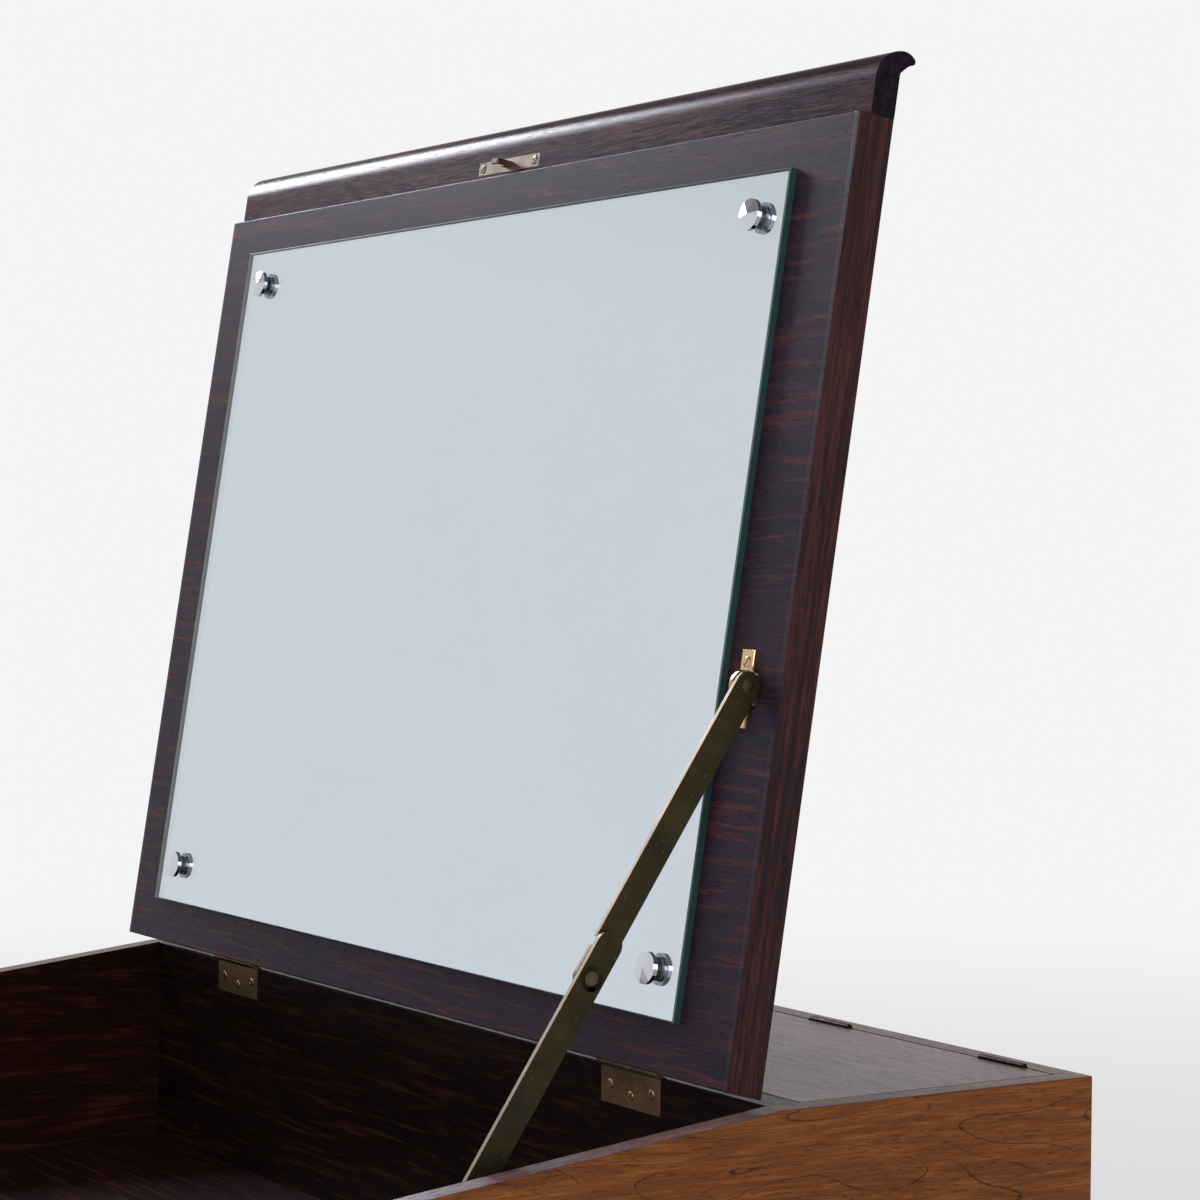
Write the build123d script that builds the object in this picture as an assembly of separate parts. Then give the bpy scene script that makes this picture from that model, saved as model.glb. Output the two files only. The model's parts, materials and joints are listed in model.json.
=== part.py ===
from build123d import *
from collections import namedtuple
from math import acos, atan2, cos, degrees, hypot, radians, sin, tan
import os

# Slant-top vanity table. Millimetres. X runs left to right, Y front to back, Z up from the floor.

# Case
case_width = 650.0
case_top = 720.0            # flat top above the floor
case_height = 149.0         # flat top down to the lower edge of the case
panel = 12.5                # sides, front and back
top_slope = 6.5             # fall of the side tops towards the front, degrees
flat_depth = 177.0          # flat part of the top, from the lid's hinge line to the back face
partition_thick = 18.0
floor_thick = 8.0
groove = 4.0                # depth of the grooves and housings that hold floor and partition
housing_thick = 10.0
rail_thick = 24.0           # cross rails between the floor and the lower edge of the case
rail_width = 75.0
rail_inset = 22.0           # clear of the front and back panels
corner_round = 1.5          # softened upright corners of the case
edge_round = 0.8            # softened edges of boards

# Legs
leg_top_radius = 17.0
leg_foot_radius = 9.5
leg_inset = 62.0            # leg axis in from the outer faces of the case
leg_neck = 4.0              # height of the narrow neck under the case
neck_step = 2.0             # how much slimmer the neck is than the shoulder
foot_round = 2.0
stud_radius = 4.0
stud_drop = 32.0
stud_cover = 4.0            # rail left above the stud
insert_radius = 6.0
insert_cover = 6.0          # rail left above the threaded insert
glide_radius = 8.0
glide_thick = 4.0
spigot_radius = 3.0
spigot_length = 10.0
bore_play = 0.1             # bores in wood over what stands in them

# Lid
lid_thick = 19.0
lid_board_length = 435.0    # hinge end to the step behind the lip
lid_side_gap = 1.0
hinge_gap = 1.0
lid_lean = 8.8              # lean back past vertical when the stay is straight, degrees
edging = 4.0                # solid strip along each side of the lid
lip_thick = 13.0
lip_land = 14.5             # flat of the lip that shuts on the front panel
lip_reach = 31.0            # step to the foremost point of the lip
beak_rise = 7.3             # finger pull above the lid's outer face
beak_hook = 2.4             # how far its nose lies behind the foremost point
nose_radius = 1.5
throat = 11.0               # foremost point back to the inner corner of the pull
nose_tuck = 0.3             # how far the underside draws in behind the nose
bow_back, bow_up = 5.0, 3.6         # middle of the bowed front: behind the foremost point, above the land
curl_back, curl_down = 0.6, 2.6     # middle of the curl: behind the foremost point, below the nose
cove_back, cove_up = 2.2, 1.2       # end of the cove: before the inner corner, above the lid's face
tongue_thick = 5.0
tongue_depth = 8.0
tongue_stop = 10.0          # the tongue stops short of the lid's sides
front_gap = 0.6             # lid land to the top of the front panel
front_play = 0.8            # step of the lid to the inner face of the front panel

# Mirror
mirror_left = 35.5          # bare lid to the left of the glass
mirror_right = 41.5         # and to its right, which leaves room for the stay
mirror_rise = 26.0          # hinge end of the lid to the near edge of the glass
mirror_fall = 22.5          # far edge of the glass to the step behind the lip
glass_thick = 4.0
glass_bevel = 0.6
cap_insets_x = (25.3, 23.0)     # fixings in from the left and right sides of the glass
cap_insets_y = (20.6, 21.9)     # and from its far and near edges
cap_radius = 7.4
cap_seat = 0.6              # thickness of the soft flange under a cap
flange_radius = 5.4
cap_neck_radius = 5.6
cap_neck = 0.7              # height of the neck between flange and rim
cap_rim = 2.0
cap_groove = 0.35           # width and depth of the groove round the rim
cap_facets = 1.2            # height of the ground facets over the rim
cap_tip_radius = 0.9
cap_sides = 6
cap_turns = (5.0, 20.0, 8.0, 12.0)
glass_hole_radius = 3.5
mirror_screw_radius = 2.25
mirror_screw_length = 13.4
mirror_head_radius = 4.6
mirror_head_thick = 1.2

# Lid hinges and flap hinges
lid_hinge_inset = 107.0     # middle of each hinge in from the inner face of the side
lid_leaf_length = 50.0
lid_leaf_height = 18.2
lid_leaf_thick = 1.6
lid_knuckle_radius = 2.4
lid_pin_radius = 1.1
lid_axis_rise = 1.5         # hinge axis above the flat top
lid_room_beyond = 2.5       # the wood is cleared past the ends of the knuckles
lid_screw_inset = 7.5       # outer screws in from the ends of the leaf
lid_screw_drop = 9.0
lid_middle_drop = 12.4      # the middle screw is staggered
flap_hinge_insets = (36.9, 171.8)
flap_leaf_length = 32.0
flap_leaf_height = 10.5
flap_leaf_thick = 1.3
flap_knuckle_radius = 1.65
flap_pin_radius = 0.75
flap_axis_rise = 0.3
flap_room_beyond = 1.0
flap_screw_inset = 5.8
flap_screw_drop = 6.2
knuckle_gap = 0.3
knuckle_room = 0.6
pin_play = 0.05
pin_proud = 0.4

# Rear flap
flap_thick = 13.0
flap_gap = 0.8
flap_lift = 0.3             # flap clear of the strips
flap_round = 0.5
rest_size = 14.0            # square strips that carry the flap

# Stay
stay_pivot_back = 177.5     # hinge end of the lid to the pivot
stay_pivot_drop = 7.5       # pivot below the lid's inner face
stay_unequal = 0.224        # how unequal the arms are, as a share of the pivots' distance with the lid shut
stay_lower_front = 166.5    # lower pivot in front of the lid's hinge line
stay_lower_drop = 67.0      # lower pivot below the flat top
bar_width = 13.0
bar_thick = 2.4
bar_play = 0.35
stay_side_room = 31.1       # inner face of the side to the far edge of the lug plate
plate_width = 9.2
plate_length = 35.4
plate_thick = 2.0
plate_soft = 0.4            # softened edges of the plate
plate_shift = 1.0           # middle of the plate from its pivot, towards the hinges
plate_screw_pitch = 24.0
ear_radius = 6.9
ear_root = 5.5              # half width of the ear where it rises from the plate
ear_step = 1.5              # the ear stands off the narrow part of the plate
ear_flare = 7.2             # half length of the wide middle of the plate
elbow_tail = 16.0           # elbow pivot to the stop stud
stop_radius = 1.6
stop_play = 0.35
stop_proud = 0.5
rivet_radius = 1.8
rivet_head_radius = 3.2
lug_head_radius = 2.4       # smaller heads on the lug's rivet
rivet_crown = 0.65          # radius of a head's flat, as a share of the head's
rivet_head_height = 0.9
rivet_play = 0.15
bracket_width = 14.0
bracket_pitch = 26.0
boss_radius = 4.5

# Lock
lock_width = 61.0
lock_plate_width = 7.0
lock_plate_thick = 1.5
lock_depth = 30.0
lock_shoulder = 9.0         # face plate past each end of the box
lock_skin = 2.0             # wood left on each side of the box
lock_wall = 1.0
lock_screw_inset = 4.5
hook_width = 7.0
hook_thick = 2.6
hook_length = 9.0
hook_neck = 2.6             # left of the hook beside its notch
hook_play = 0.9
notch_drop = 3.0            # land of the lid down to the notch
bolt_travel = 4.0
bolt_height = 3.0
bolt_thick = 3.2
bolt_play = 0.6
bolt_body = 11.0            # height of the bolt's body
talon_radius = 2.4
keyhole_radius = 1.8
keyhole_slit = 1.6
keyhole_foot = 6.0          # slit below the middle of the hole
keyhole_drop = 17.0
key_plate_width = 13.0
key_plate_height = 20.0
key_plate_thick = 1.5

# Screws
screw_head_radius = 2.8
screw_shank_radius = 1.5
screw_tip_radius = 0.3
slot_width = 0.7
lid_screw_length = 13.0
flap_screw_length = 9.5
lug_screw_length = 12.0
striker_screw_length = 8.0
lock_screw_length = 12.0
bracket_screw_length = 10.0

# Worked out from the above
slope = radians(top_slope)
land_drop = lip_thick + front_gap     # square to the lid, its outer face to the front panel
lid_run = lid_board_length * cos(slope) - land_drop * sin(slope)
case_depth = flat_depth + hinge_gap + lid_run + front_play + panel
half_out = case_width / 2
half_in = half_out - panel
y_back = case_depth / 2
y_front = -case_depth / 2
y_line = y_back - flat_depth          # hinge line, front face of the partition
z_low = case_top - case_height
z_floor = z_low + rail_thick + floor_thick
travel = 90 + lid_lean + top_slope
lid_axis = (0, y_line - hinge_gap / 2, case_top + lid_axis_rise)
flap_axis = (0, y_back - panel - hinge_gap / 2, case_top + flap_axis_rise)
lid_half = half_in - lid_side_gap
lid_closed = Pos(0, y_line - hinge_gap, case_top) * Rot(X=top_slope)
opening = Pos(*lid_axis) * Rot(X=-travel) * Pos(*[-c for c in lid_axis])
lid_open = opening * lid_closed


def block(x0, x1, y0, y1, z0, z1):
    """A box between two corners."""
    return Pos((x0 + x1) / 2, (y0 + y1) / 2, (z0 + z1) / 2) * Box(x1 - x0, y1 - y0, z1 - z0)


def section(points, soft=(), radius=edge_round):
    """Face with its corners at (y, z) points; the corners numbered in soft are rounded."""
    face = make_face(Polyline(*points, close=True))
    rounded = [min(face.vertices(), key=lambda v: hypot(v.X - points[i][0], v.Y - points[i][1]))
               for i in soft]
    return Plane.YZ * (fillet(rounded, radius) if rounded else face)


def prism_x(face, x0, x1):
    """Extrude a face drawn with Plane.YZ between two X values."""
    return Pos(x0, 0, 0) * extrude(face, x1 - x0, dir=(1, 0, 0))


def disc_x(radius, x0, x1, y=0.0, z=0.0):
    """A cylinder along X."""
    return Pos((x0 + x1) / 2, y, z) * Rot(Y=90) * Cylinder(radius, x1 - x0)


def group(solids):
    """Several separate solids kept in one node."""
    return Compound(children=list(solids))


def mirrored(shape):
    """The same piece on the other side of the table."""
    return shape.mirror(Plane.YZ)


# ---------------------------------------------------------------- screws

def screw_body(length, head=screw_head_radius, shank=screw_shank_radius):
    """A countersunk wood screw pointing down, its head level with Z = 0."""
    rise = head - shank
    point = 2 * shank
    cone = Pos(0, 0, -rise / 2) * Cone(shank, head, rise)
    shaft = Pos(0, 0, -(rise + length - point) / 2) * Cylinder(shank, length - point - rise)
    return cone + shaft + Pos(0, 0, point / 2 - length) * Cone(screw_tip_radius, shank, point)


def screw(length, head=screw_head_radius, shank=screw_shank_radius):
    """The screw with its driver slot."""
    slot = block(-head, head, -slot_width / 2, slot_width / 2, -slot_width, 1)
    return screw_body(length, head, shank) - slot


# ---------------------------------------------------------------- case

def top_at(y):
    """Height of the sloping side tops."""
    return case_top - (y_line - y) * tan(slope)


def land_at(y):
    """Height of the front panel's bevelled top, under the lid's land."""
    return case_top - (y_line - hinge_gap - y) * tan(slope) - land_drop / cos(slope)


def case_envelope():
    """Outside of the case as one block, with its upright corners and top edges softened."""
    outline = section([(y_back, z_low), (y_back, case_top), (y_line, case_top),
                       (y_front, top_at(y_front)), (y_front, z_low)])
    body = prism_x(outline, -half_out, half_out)
    body = fillet(body.edges().filter_by(Axis.Z), corner_round)
    rim = [e for e in body.edges() if e.center().Z > top_at(y_front) - edge_round
           and abs(e.center().Y - y_line) > edge_round]
    return fillet([e for e in rim if abs(e.tangent_at(0.5).Z) < 0.9], edge_round)


def mitred(side, body):
    """Keep what lies between the mitres of the front (-1) or back (+1) panel."""
    outer = side * case_depth / 2
    inner = outer - side * panel
    plan = make_face(Polyline((-half_out, outer), (half_out, outer), (half_in, inner),
                              (-half_in, inner), close=True))
    return body & Pos(0, 0, z_low) * extrude(plan, case_height, dir=(0, 0, 1))


def back_panel_blank():
    return mitred(1, block(-half_out, half_out, y_back - panel, y_back, z_low, case_top))


def front_panel_blank(soft=()):
    """Its top edge is bevelled to the slope of the lid's land."""
    inner = y_front + panel
    face = section([(y_front, z_low), (y_front, land_at(y_front)), (inner, land_at(inner)),
                    (inner, z_low)], soft)
    return mitred(-1, prism_x(face, -half_out, half_out))


def floor_panel():
    """Plywood floor let into grooves all round."""
    reach_x = half_in + groove
    reach_y = case_depth / 2 - panel + groove
    return block(-reach_x, reach_x, -reach_y, reach_y, z_floor - floor_thick, z_floor)


def partition_board():
    """Upright between the two compartments, with its top edges softened."""
    board = block(-half_in, half_in, y_line, y_line + partition_thick, z_floor, case_top)
    return fillet(board.edges().filter_by(Axis.X).group_by(Axis.Z)[-1], edge_round)


def partition_tongue():
    """Stopped tongue at both ends of the partition."""
    middle = y_line + partition_thick / 2
    reach = half_in + groove
    return block(-reach, reach, middle - housing_thick / 2, middle + housing_thick / 2,
                 z_floor, case_top - lid_thick - groove)


def side_panel_blank():
    """Right side: level at the back, then falling to the front."""
    slab = block(half_in, half_out, y_front, y_back, z_low, case_top)
    return (slab & case_envelope()) - back_panel_blank() - front_panel_blank()


def flap_rest():
    """Strip on the side, under the end of the rear flap."""
    z = case_top - flap_thick
    return block(half_in - rest_size, half_in, y_line + partition_thick, y_back - panel,
                 z - rest_size, z)


def rails():
    """Front and rear cross rails under the floor, which take the legs."""
    top = z_floor - floor_thick
    y0 = y_front + panel + rail_inset
    y1 = y_back - panel - rail_inset
    return (block(-half_in, half_in, y0, y0 + rail_width, z_low, top),
            block(-half_in, half_in, y1 - rail_width, y1, z_low, top))


# ---------------------------------------------------------------- legs

leg_places = {
    "front_left": (-(half_out - leg_inset), y_front + leg_inset),
    "front_right": (half_out - leg_inset, y_front + leg_inset),
    "rear_left": (-(half_out - leg_inset), y_back - leg_inset),
    "rear_right": (half_out - leg_inset, y_back - leg_inset),
}


def leg_blank():
    """Turned leg: a short neck, a shoulder, then a long taper with a rounded foot."""
    shoulder = z_low - leg_neck
    foot = glide_thick
    neck_radius = leg_top_radius - neck_step
    flat = leg_foot_radius - foot_round
    bend = foot_round * (1 - sin(radians(45)))
    toe = (leg_foot_radius - bend, 0, foot + bend)
    brow = (leg_top_radius - 0.3 * neck_step, 0, shoulder - 0.45 * neck_step)
    start = (leg_top_radius, 0, shoulder - 1.5 * neck_step)
    outline = Wire([
        Edge.make_line((0, 0, foot), (flat, 0, foot)),
        Edge.make_three_point_arc((flat, 0, foot), toe, (leg_foot_radius, 0, foot + foot_round)),
        Edge.make_line((leg_foot_radius, 0, foot + foot_round), start),
        Edge.make_three_point_arc(start, brow, (neck_radius, 0, shoulder)),
        Edge.make_line((neck_radius, 0, shoulder), (neck_radius, 0, z_low)),
        Edge.make_line((neck_radius, 0, z_low), (0, 0, z_low)),
        Edge.make_line((0, 0, z_low), (0, 0, foot)),
    ])
    return revolve(make_face(outline), Axis.Z)


def upright(radius, z0, z1):
    """A cylinder along Z."""
    return Pos(0, 0, (z0 + z1) / 2) * Cylinder(radius, z1 - z0)


def leg_stud(play=0.0):
    """Hanger bolt between the leg and its insert."""
    return upright(stud_radius + play, z_low - stud_drop - play, z_low + rail_thick - stud_cover + play)


def leg_insert(play=0.0):
    """Threaded sleeve set in the rail."""
    return upright(insert_radius + play, z_low, z_low + rail_thick - insert_cover + play)


def glide(play=0.0):
    """Foot glide with its spigot up in the leg."""
    pad = chamfer(upright(glide_radius, 0, glide_thick).edges().group_by(Axis.Z)[0], glide_thick / 4)
    return pad + upright(spigot_radius + play, glide_thick, glide_thick + spigot_length + play)


# ---------------------------------------------------------------- hinges

Butt = namedtuple("Butt", "length height leaf knuckle pin rise beyond screw_length")
lid_butt = Butt(lid_leaf_length, lid_leaf_height, lid_leaf_thick, lid_knuckle_radius, lid_pin_radius,
                lid_axis_rise, lid_room_beyond, lid_screw_length)
flap_butt = Butt(flap_leaf_length, flap_leaf_height, flap_leaf_thick, flap_knuckle_radius,
                 flap_pin_radius, flap_axis_rise, flap_room_beyond, flap_screw_length)


def hinge_leaf(butt, axis, moving):
    """One leaf of a five-knuckle butt hinge, shown shut, with its axis along X.

    The fixed leaf hangs behind the gap and carries knuckles 2 and 4;
    the moving leaf hangs in front and carries knuckles 1, 3 and 5.
    """
    side = -1 if moving else 1
    y0, y1 = sorted((side * hinge_gap / 2, side * (hinge_gap / 2 + butt.leaf)))
    plate = block(-butt.length / 2, butt.length / 2, y0, y1, -butt.rise - butt.height, -butt.rise)
    step = butt.length / 5
    turned = (0, 2, 4) if moving else (1, 3)
    for place in turned:
        x0 = -butt.length / 2 + place * step + (knuckle_gap / 2 if place else 0)
        x1 = -butt.length / 2 + (place + 1) * step - (knuckle_gap / 2 if place < 4 else 0)
        root = block(x0, x1, y0, y1, -butt.rise - 1, 0)
        plate += root + disc_x(butt.knuckle, x0, x1)
    others = (1, 3) if moving else (0, 2, 4)
    for place in others:
        x0 = -butt.length / 2 + place * step - knuckle_gap / 2
        plate -= disc_x(butt.knuckle + knuckle_gap, x0, x0 + step + knuckle_gap)
    bore = butt.pin + pin_play if moving else butt.pin
    plate -= disc_x(bore, -butt.length, butt.length)
    return Pos(*axis) * plate


def hinge_pin(butt, axis):
    """Pin with a chamfered end past each outer knuckle."""
    reach = butt.length / 2 + pin_proud
    return Pos(*axis) * chamfer(disc_x(butt.pin, -reach, reach).edges(), pin_proud)


def knuckle_cut(butt, axis):
    """Room in the wood for the turned knuckles."""
    reach = butt.length / 2 + butt.beyond
    return Pos(*axis) * disc_x(butt.knuckle + knuckle_room, -reach, reach)


def leaf_seat(butt, axis, moving):
    """Mortise for a leaf."""
    side = -1 if moving else 1
    y0, y1 = sorted((0, side * (hinge_gap / 2 + butt.leaf)))
    return Pos(*axis) * block(-butt.length / 2, butt.length / 2, y0, y1, -butt.rise - butt.height, 0)


def leaf_screws(maker, butt, spots, axis, moving):
    """Screws through a leaf; spots are (x, depth below the top) from the hinge's middle."""
    side = -1 if moving else 1
    turn = Rot(X=90) if not moving else Rot(X=-90)
    placed = []
    for x, drop in spots:
        seat = Pos(x, side * hinge_gap / 2, -butt.rise - drop)
        placed.append(Pos(*axis) * seat * turn * maker(butt.screw_length))
    return placed


lid_reach = lid_leaf_length / 2 - lid_screw_inset
lid_spots = ((-lid_reach, lid_screw_drop), (0.0, lid_middle_drop), (lid_reach, lid_screw_drop))
flap_reach = flap_leaf_length / 2 - flap_screw_inset
flap_spots = ((-flap_reach, flap_screw_drop), (flap_reach, flap_screw_drop))


def at_x(axis, x):
    return (x, axis[1], axis[2])


lid_hinges = [at_x(lid_axis, s * (half_in - lid_hinge_inset)) for s in (-1, 1)]
flap_places = [half_in - inset for inset in flap_hinge_insets]
flap_hinges = [at_x(flap_axis, x) for x in sorted([-x for x in flap_places] + flap_places)]


def lid_leaf_screws(maker, moving):
    return [s for a in lid_hinges for s in leaf_screws(maker, lid_butt, lid_spots, a, moving)]


def flap_leaf_screws(maker, moving):
    return [s for a in flap_hinges for s in leaf_screws(maker, flap_butt, flap_spots, a, moving)]


# ---------------------------------------------------------------- lid, drawn flat, outer face at Z = 0

def lid_section():
    """Section of the board and its side edgings; the hinge end is cut plumb."""
    far = -lid_board_length
    return section([(0, 0), (far, 0), (far, -lid_thick), (-lid_thick * tan(slope), -lid_thick)],
                   (0, 2, 3))


def lip_face():
    """Section of the front lip, which curls up into a beak-shaped pull."""
    foot = -lid_board_length
    land_end = foot - lip_land
    front = foot - lip_reach
    nose_y = front + beak_hook
    corner_y = front + throat
    under = Spline((nose_y + 2 * nose_radius - nose_tuck, beak_rise - nose_radius - nose_tuck),
                   (corner_y - cove_back, cove_up), (corner_y, 0),
                   tangents=((0.55, -1.0), (1.0, 0.0)))
    bow = ThreePointArc((land_end, -lip_thick), (front + bow_back, bow_up - lip_thick), (front, 0))
    curl = ThreePointArc((front, 0), (front + curl_back, beak_rise - curl_down), (nose_y, beak_rise))
    nose = ThreePointArc((nose_y, beak_rise),
                         (nose_y + 1.6 * nose_radius, beak_rise - 0.35 * nose_radius), under @ 0)
    edges = [Line(under @ 1, (foot, 0)), Line((foot, 0), (foot, -lip_thick)),
             Line((foot, -lip_thick), (land_end, -lip_thick)), bow, curl, nose, under]
    return make_face(Plane.YZ * Wire(edges))


def lip_tongue():
    """Tongue of the lip in the groove of the board."""
    foot = -lid_board_length
    middle = -lip_thick / 2
    return block(-lid_half + tongue_stop, lid_half - tongue_stop, foot, foot + tongue_depth,
                 middle - tongue_thick / 2, middle + tongue_thick / 2)


glass_x = (-lid_half + mirror_left, lid_half - mirror_right)
glass_y = (mirror_fall - lid_board_length, -mirror_rise)


def glass_spots():
    """Centres of the four mirror screws on the lid."""
    return [(x, y) for x in (glass_x[0] + cap_insets_x[0], glass_x[1] - cap_insets_x[1])
            for y in (glass_y[0] + cap_insets_y[0], glass_y[1] - cap_insets_y[1])]


def on_glass(shape):
    """Copies of a fixing at the four corners, each turned its own way; its seat is at Z = 0."""
    face = -lid_thick - glass_thick
    return [Pos(x, y, face) * Rot(X=180) * Rot(Z=turn) * shape
            for (x, y), turn in zip(glass_spots(), cap_turns)]


def mirror_glass():
    """Plate glass with ground edges and four holes."""
    sheet = block(*glass_x, *glass_y, -lid_thick - glass_thick, -lid_thick)
    sheet = chamfer(sheet.edges().group_by(Axis.Z)[0], glass_bevel)
    return sheet - on_glass(upright(glass_hole_radius, -2 * glass_thick, glass_thick))


def glass_bush():
    """Soft sleeve that keeps the screw off the glass, with a thin flange on its face."""
    flange = upright(flange_radius, 0, cap_seat)
    sleeve = upright(glass_hole_radius, -glass_thick, 0)
    return flange + sleeve - upright(mirror_screw_radius, -2 * glass_thick, glass_thick)


def mirror_screw_body():
    """Screw through the bush into the lid, under its cap."""
    shank = upright(mirror_screw_radius, cap_seat - mirror_screw_length, cap_seat)
    return shank + upright(mirror_head_radius, cap_seat, cap_seat + mirror_head_thick)


def cap_facets_over(z0):
    """Flat facets ground on a disc, rising from Z = z0 to a small point."""
    z1 = z0 + cap_facets
    low = Pos(0, 0, z0) * RegularPolygon(cap_radius, cap_sides, major_radius=False)
    high = Pos(0, 0, z1) * RegularPolygon(cap_tip_radius, cap_sides, major_radius=False)
    return loft([low, high]) & upright(cap_radius, z0, z1)


def mirror_cap():
    """Chromed cap: a short neck, a rim with a groove round it, and a faceted head."""
    rim = cap_seat + cap_neck
    face = rim + cap_rim
    middle = (rim + face) / 2
    body = upright(cap_neck_radius, cap_seat, rim) + upright(cap_radius, rim, face) + cap_facets_over(face)
    groove = upright(2 * cap_radius, middle, middle + cap_groove)
    body -= groove - upright(cap_radius - cap_groove, rim, face)
    return body - upright(mirror_head_radius + bore_play, 0, cap_seat + mirror_head_thick)


# ---------------------------------------------------------------- stay

plate_inner_x = half_in - stay_side_room      # edge of the lug plate next to the mirror
ear_x = plate_inner_x + plate_width + ear_step   # inner face of the ear
upper_x = ear_x + bar_thick + bar_play       # inner face of the upper arm
lower_x = upper_x + bar_thick + bar_play     # inner face of the lower arm
pivot_local = (-stay_pivot_back, -lid_thick - stay_pivot_drop)


def yz(location):
    """Y and Z of a placed point."""
    return location.position.Y, location.position.Z


def length_and_angle(start, end):
    """Distance from start to end and its angle from +Y, in degrees."""
    dy, dz = end[0] - start[0], end[1] - start[1]
    return hypot(dy, dz), degrees(atan2(dz, dy))


lug_rest = yz(lid_open * Pos(0, *pivot_local))
lug_shut = yz(lid_closed * Pos(0, *pivot_local))
anchor = (y_line - stay_lower_front, case_top - stay_lower_drop)
stay_span, stay_angle = length_and_angle(lug_rest, anchor)
shut_gap, shut_line = length_and_angle(lug_shut, anchor)
stay_upper_length = (stay_span - stay_unequal * shut_gap) / 2
stay_lower_length = stay_span - stay_upper_length


def shut_elbow():
    """Angles of both arms with the lid shut, the elbow folded forward."""
    corner = stay_upper_length ** 2 + shut_gap ** 2 - stay_lower_length ** 2
    upper = shut_line - degrees(acos(corner / (2 * stay_upper_length * shut_gap)))
    elbow = (lug_shut[0] + stay_upper_length * cos(radians(upper)),
             lug_shut[1] + stay_upper_length * sin(radians(upper)))
    return upper, length_and_angle(elbow, anchor)[1]


elbow_rest = (lug_rest[0] + stay_upper_length * cos(radians(stay_angle)),
              lug_rest[1] + stay_upper_length * sin(radians(stay_angle)))
upper_shut, lower_shut = shut_elbow()
upper_turn = upper_shut - stay_angle
lower_turn = lower_shut - stay_angle


def bar(start, end):
    """Flat bar along Y from one end to the other, with round ends; its inner face is at X = 0."""
    ends = [Pos(y, 0) * Circle(bar_width / 2) for y in (start, end)]
    outline = Pos((start + end) / 2, 0) * Rectangle(end - start, bar_width) + ends
    return extrude(Plane.YZ * outline, bar_thick, dir=(1, 0, 0))


def lug_outline():
    """Lug plate, wider in the middle where the ear rises; half of it is drawn, then mirrored."""
    half_w, half_l = plate_width / 2, plate_length / 2
    cove = ear_step + bar_thick
    waist = half_w + cove
    start = (half_w, ear_flare + cove)
    deepest = (waist - cove * cos(radians(45)), ear_flare + cove - cove * sin(radians(45)))
    half = [Line((-half_w, 0), (-half_w, half_l)), Line((-half_w, half_l), (half_w, half_l)),
            Line((half_w, half_l), start), ThreePointArc(start, deepest, (waist, ear_flare)),
            Line((waist, ear_flare), (waist, 0)), Line((waist, 0), (-half_w, 0))]
    face = make_face(Wire(half))
    return face + face.mirror(Plane.XZ)


plate_middle = (plate_inner_x + plate_width / 2, pivot_local[0] + plate_shift)


def lug():
    """Plate on the lid with an ear square to it, drawn in the lid's flat frame."""
    y, z = pivot_local
    plate = Pos(*plate_middle, -lid_thick) * extrude(lug_outline(), plate_thick, dir=(0, 0, -1))
    plate = chamfer(plate.edges().group_by(Axis.Z)[0], plate_soft)
    ear = disc_x(ear_radius, ear_x, ear_x + bar_thick, y, z)
    root = block(ear_x, ear_x + bar_thick, y - ear_root, y + ear_root, z, -lid_thick)
    return plate + ear + root


def lug_screws(maker):
    """Two screws down through the ends of the lug plate."""
    x, y = plate_middle
    spots = [Pos(x, y + s * plate_screw_pitch / 2, -lid_thick - plate_thick) for s in (-1, 1)]
    return [spot * Rot(X=180) * Rot(Z=65) * maker(lug_screw_length) for spot in spots]


def rivet_head(x, side, radius=rivet_head_radius):
    """Low conical rivet head whose base is at X, facing +X (1) or -X (-1)."""
    return Pos(x, 0, 0) * Rot(Y=side * 90) * Cone(
        radius, radius * rivet_crown, rivet_head_height, align=(Align.CENTER, Align.CENTER, Align.MIN))


def rivet(x0, x1, radius=rivet_head_radius):
    """Rivet shank between two X values with a head on the outside of each end."""
    return disc_x(rivet_radius, x0, x1) + rivet_head(x0, -1, radius) + rivet_head(x1, 1, radius)


def lug_rivet():
    """Rivet through the ear and the upper arm; it turns with the lid."""
    return Pos(0, *pivot_local) * rivet(ear_x, upper_x + bar_thick + rivet_play, lug_head_radius)


def notch():
    """Slot in the upper arm that the stop stud swings out of as the elbow folds forward."""
    reach = stop_radius + stop_play
    ring = Circle(elbow_tail + reach) - Circle(elbow_tail - reach)
    quarter = ring & Pos(-elbow_tail, -elbow_tail) * Rectangle(2 * elbow_tail, 2 * elbow_tail)
    end = Pos(-elbow_tail, 0) * Circle(reach)
    return Pos(-bar_thick, 0, 0) * extrude(Plane.YZ * (quarter + end), 3 * bar_thick, dir=(1, 0, 0))


def arm_at(x, point, angle):
    """Place a piece drawn along +Y from its pivot."""
    return Pos(x, *point) * Rot(X=angle)


def pivot_bore(y, play=0.0):
    """Bore for a rivet across an arm."""
    return disc_x(rivet_radius + play, -bar_thick, 2 * bar_thick, y)


def upper_arm():
    """Bar from the lug to just past the elbow, notched for the stop."""
    body = bar(0, stay_upper_length) - pivot_bore(0, pin_play) - pivot_bore(stay_upper_length, pin_play)
    body -= Pos(0, stay_upper_length, 0) * notch()
    return arm_at(upper_x, lug_rest, stay_angle) * body


def lower_arm():
    """Bar from its tail past the elbow down to the side bracket, with the stop stud in its tail."""
    body = bar(-elbow_tail, stay_lower_length)
    body += disc_x(stop_radius, -bar_thick - bar_play, bar_thick + stop_proud, -elbow_tail)
    body -= pivot_bore(0) + pivot_bore(stay_lower_length)
    return arm_at(lower_x, elbow_rest, stay_angle) * body


def elbow_rivet():
    """Rivet fast in the lower arm; the upper arm turns on it."""
    x0 = -bar_thick - bar_play - rivet_play
    return arm_at(lower_x, elbow_rest, stay_angle) * rivet(x0, bar_thick)


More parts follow.
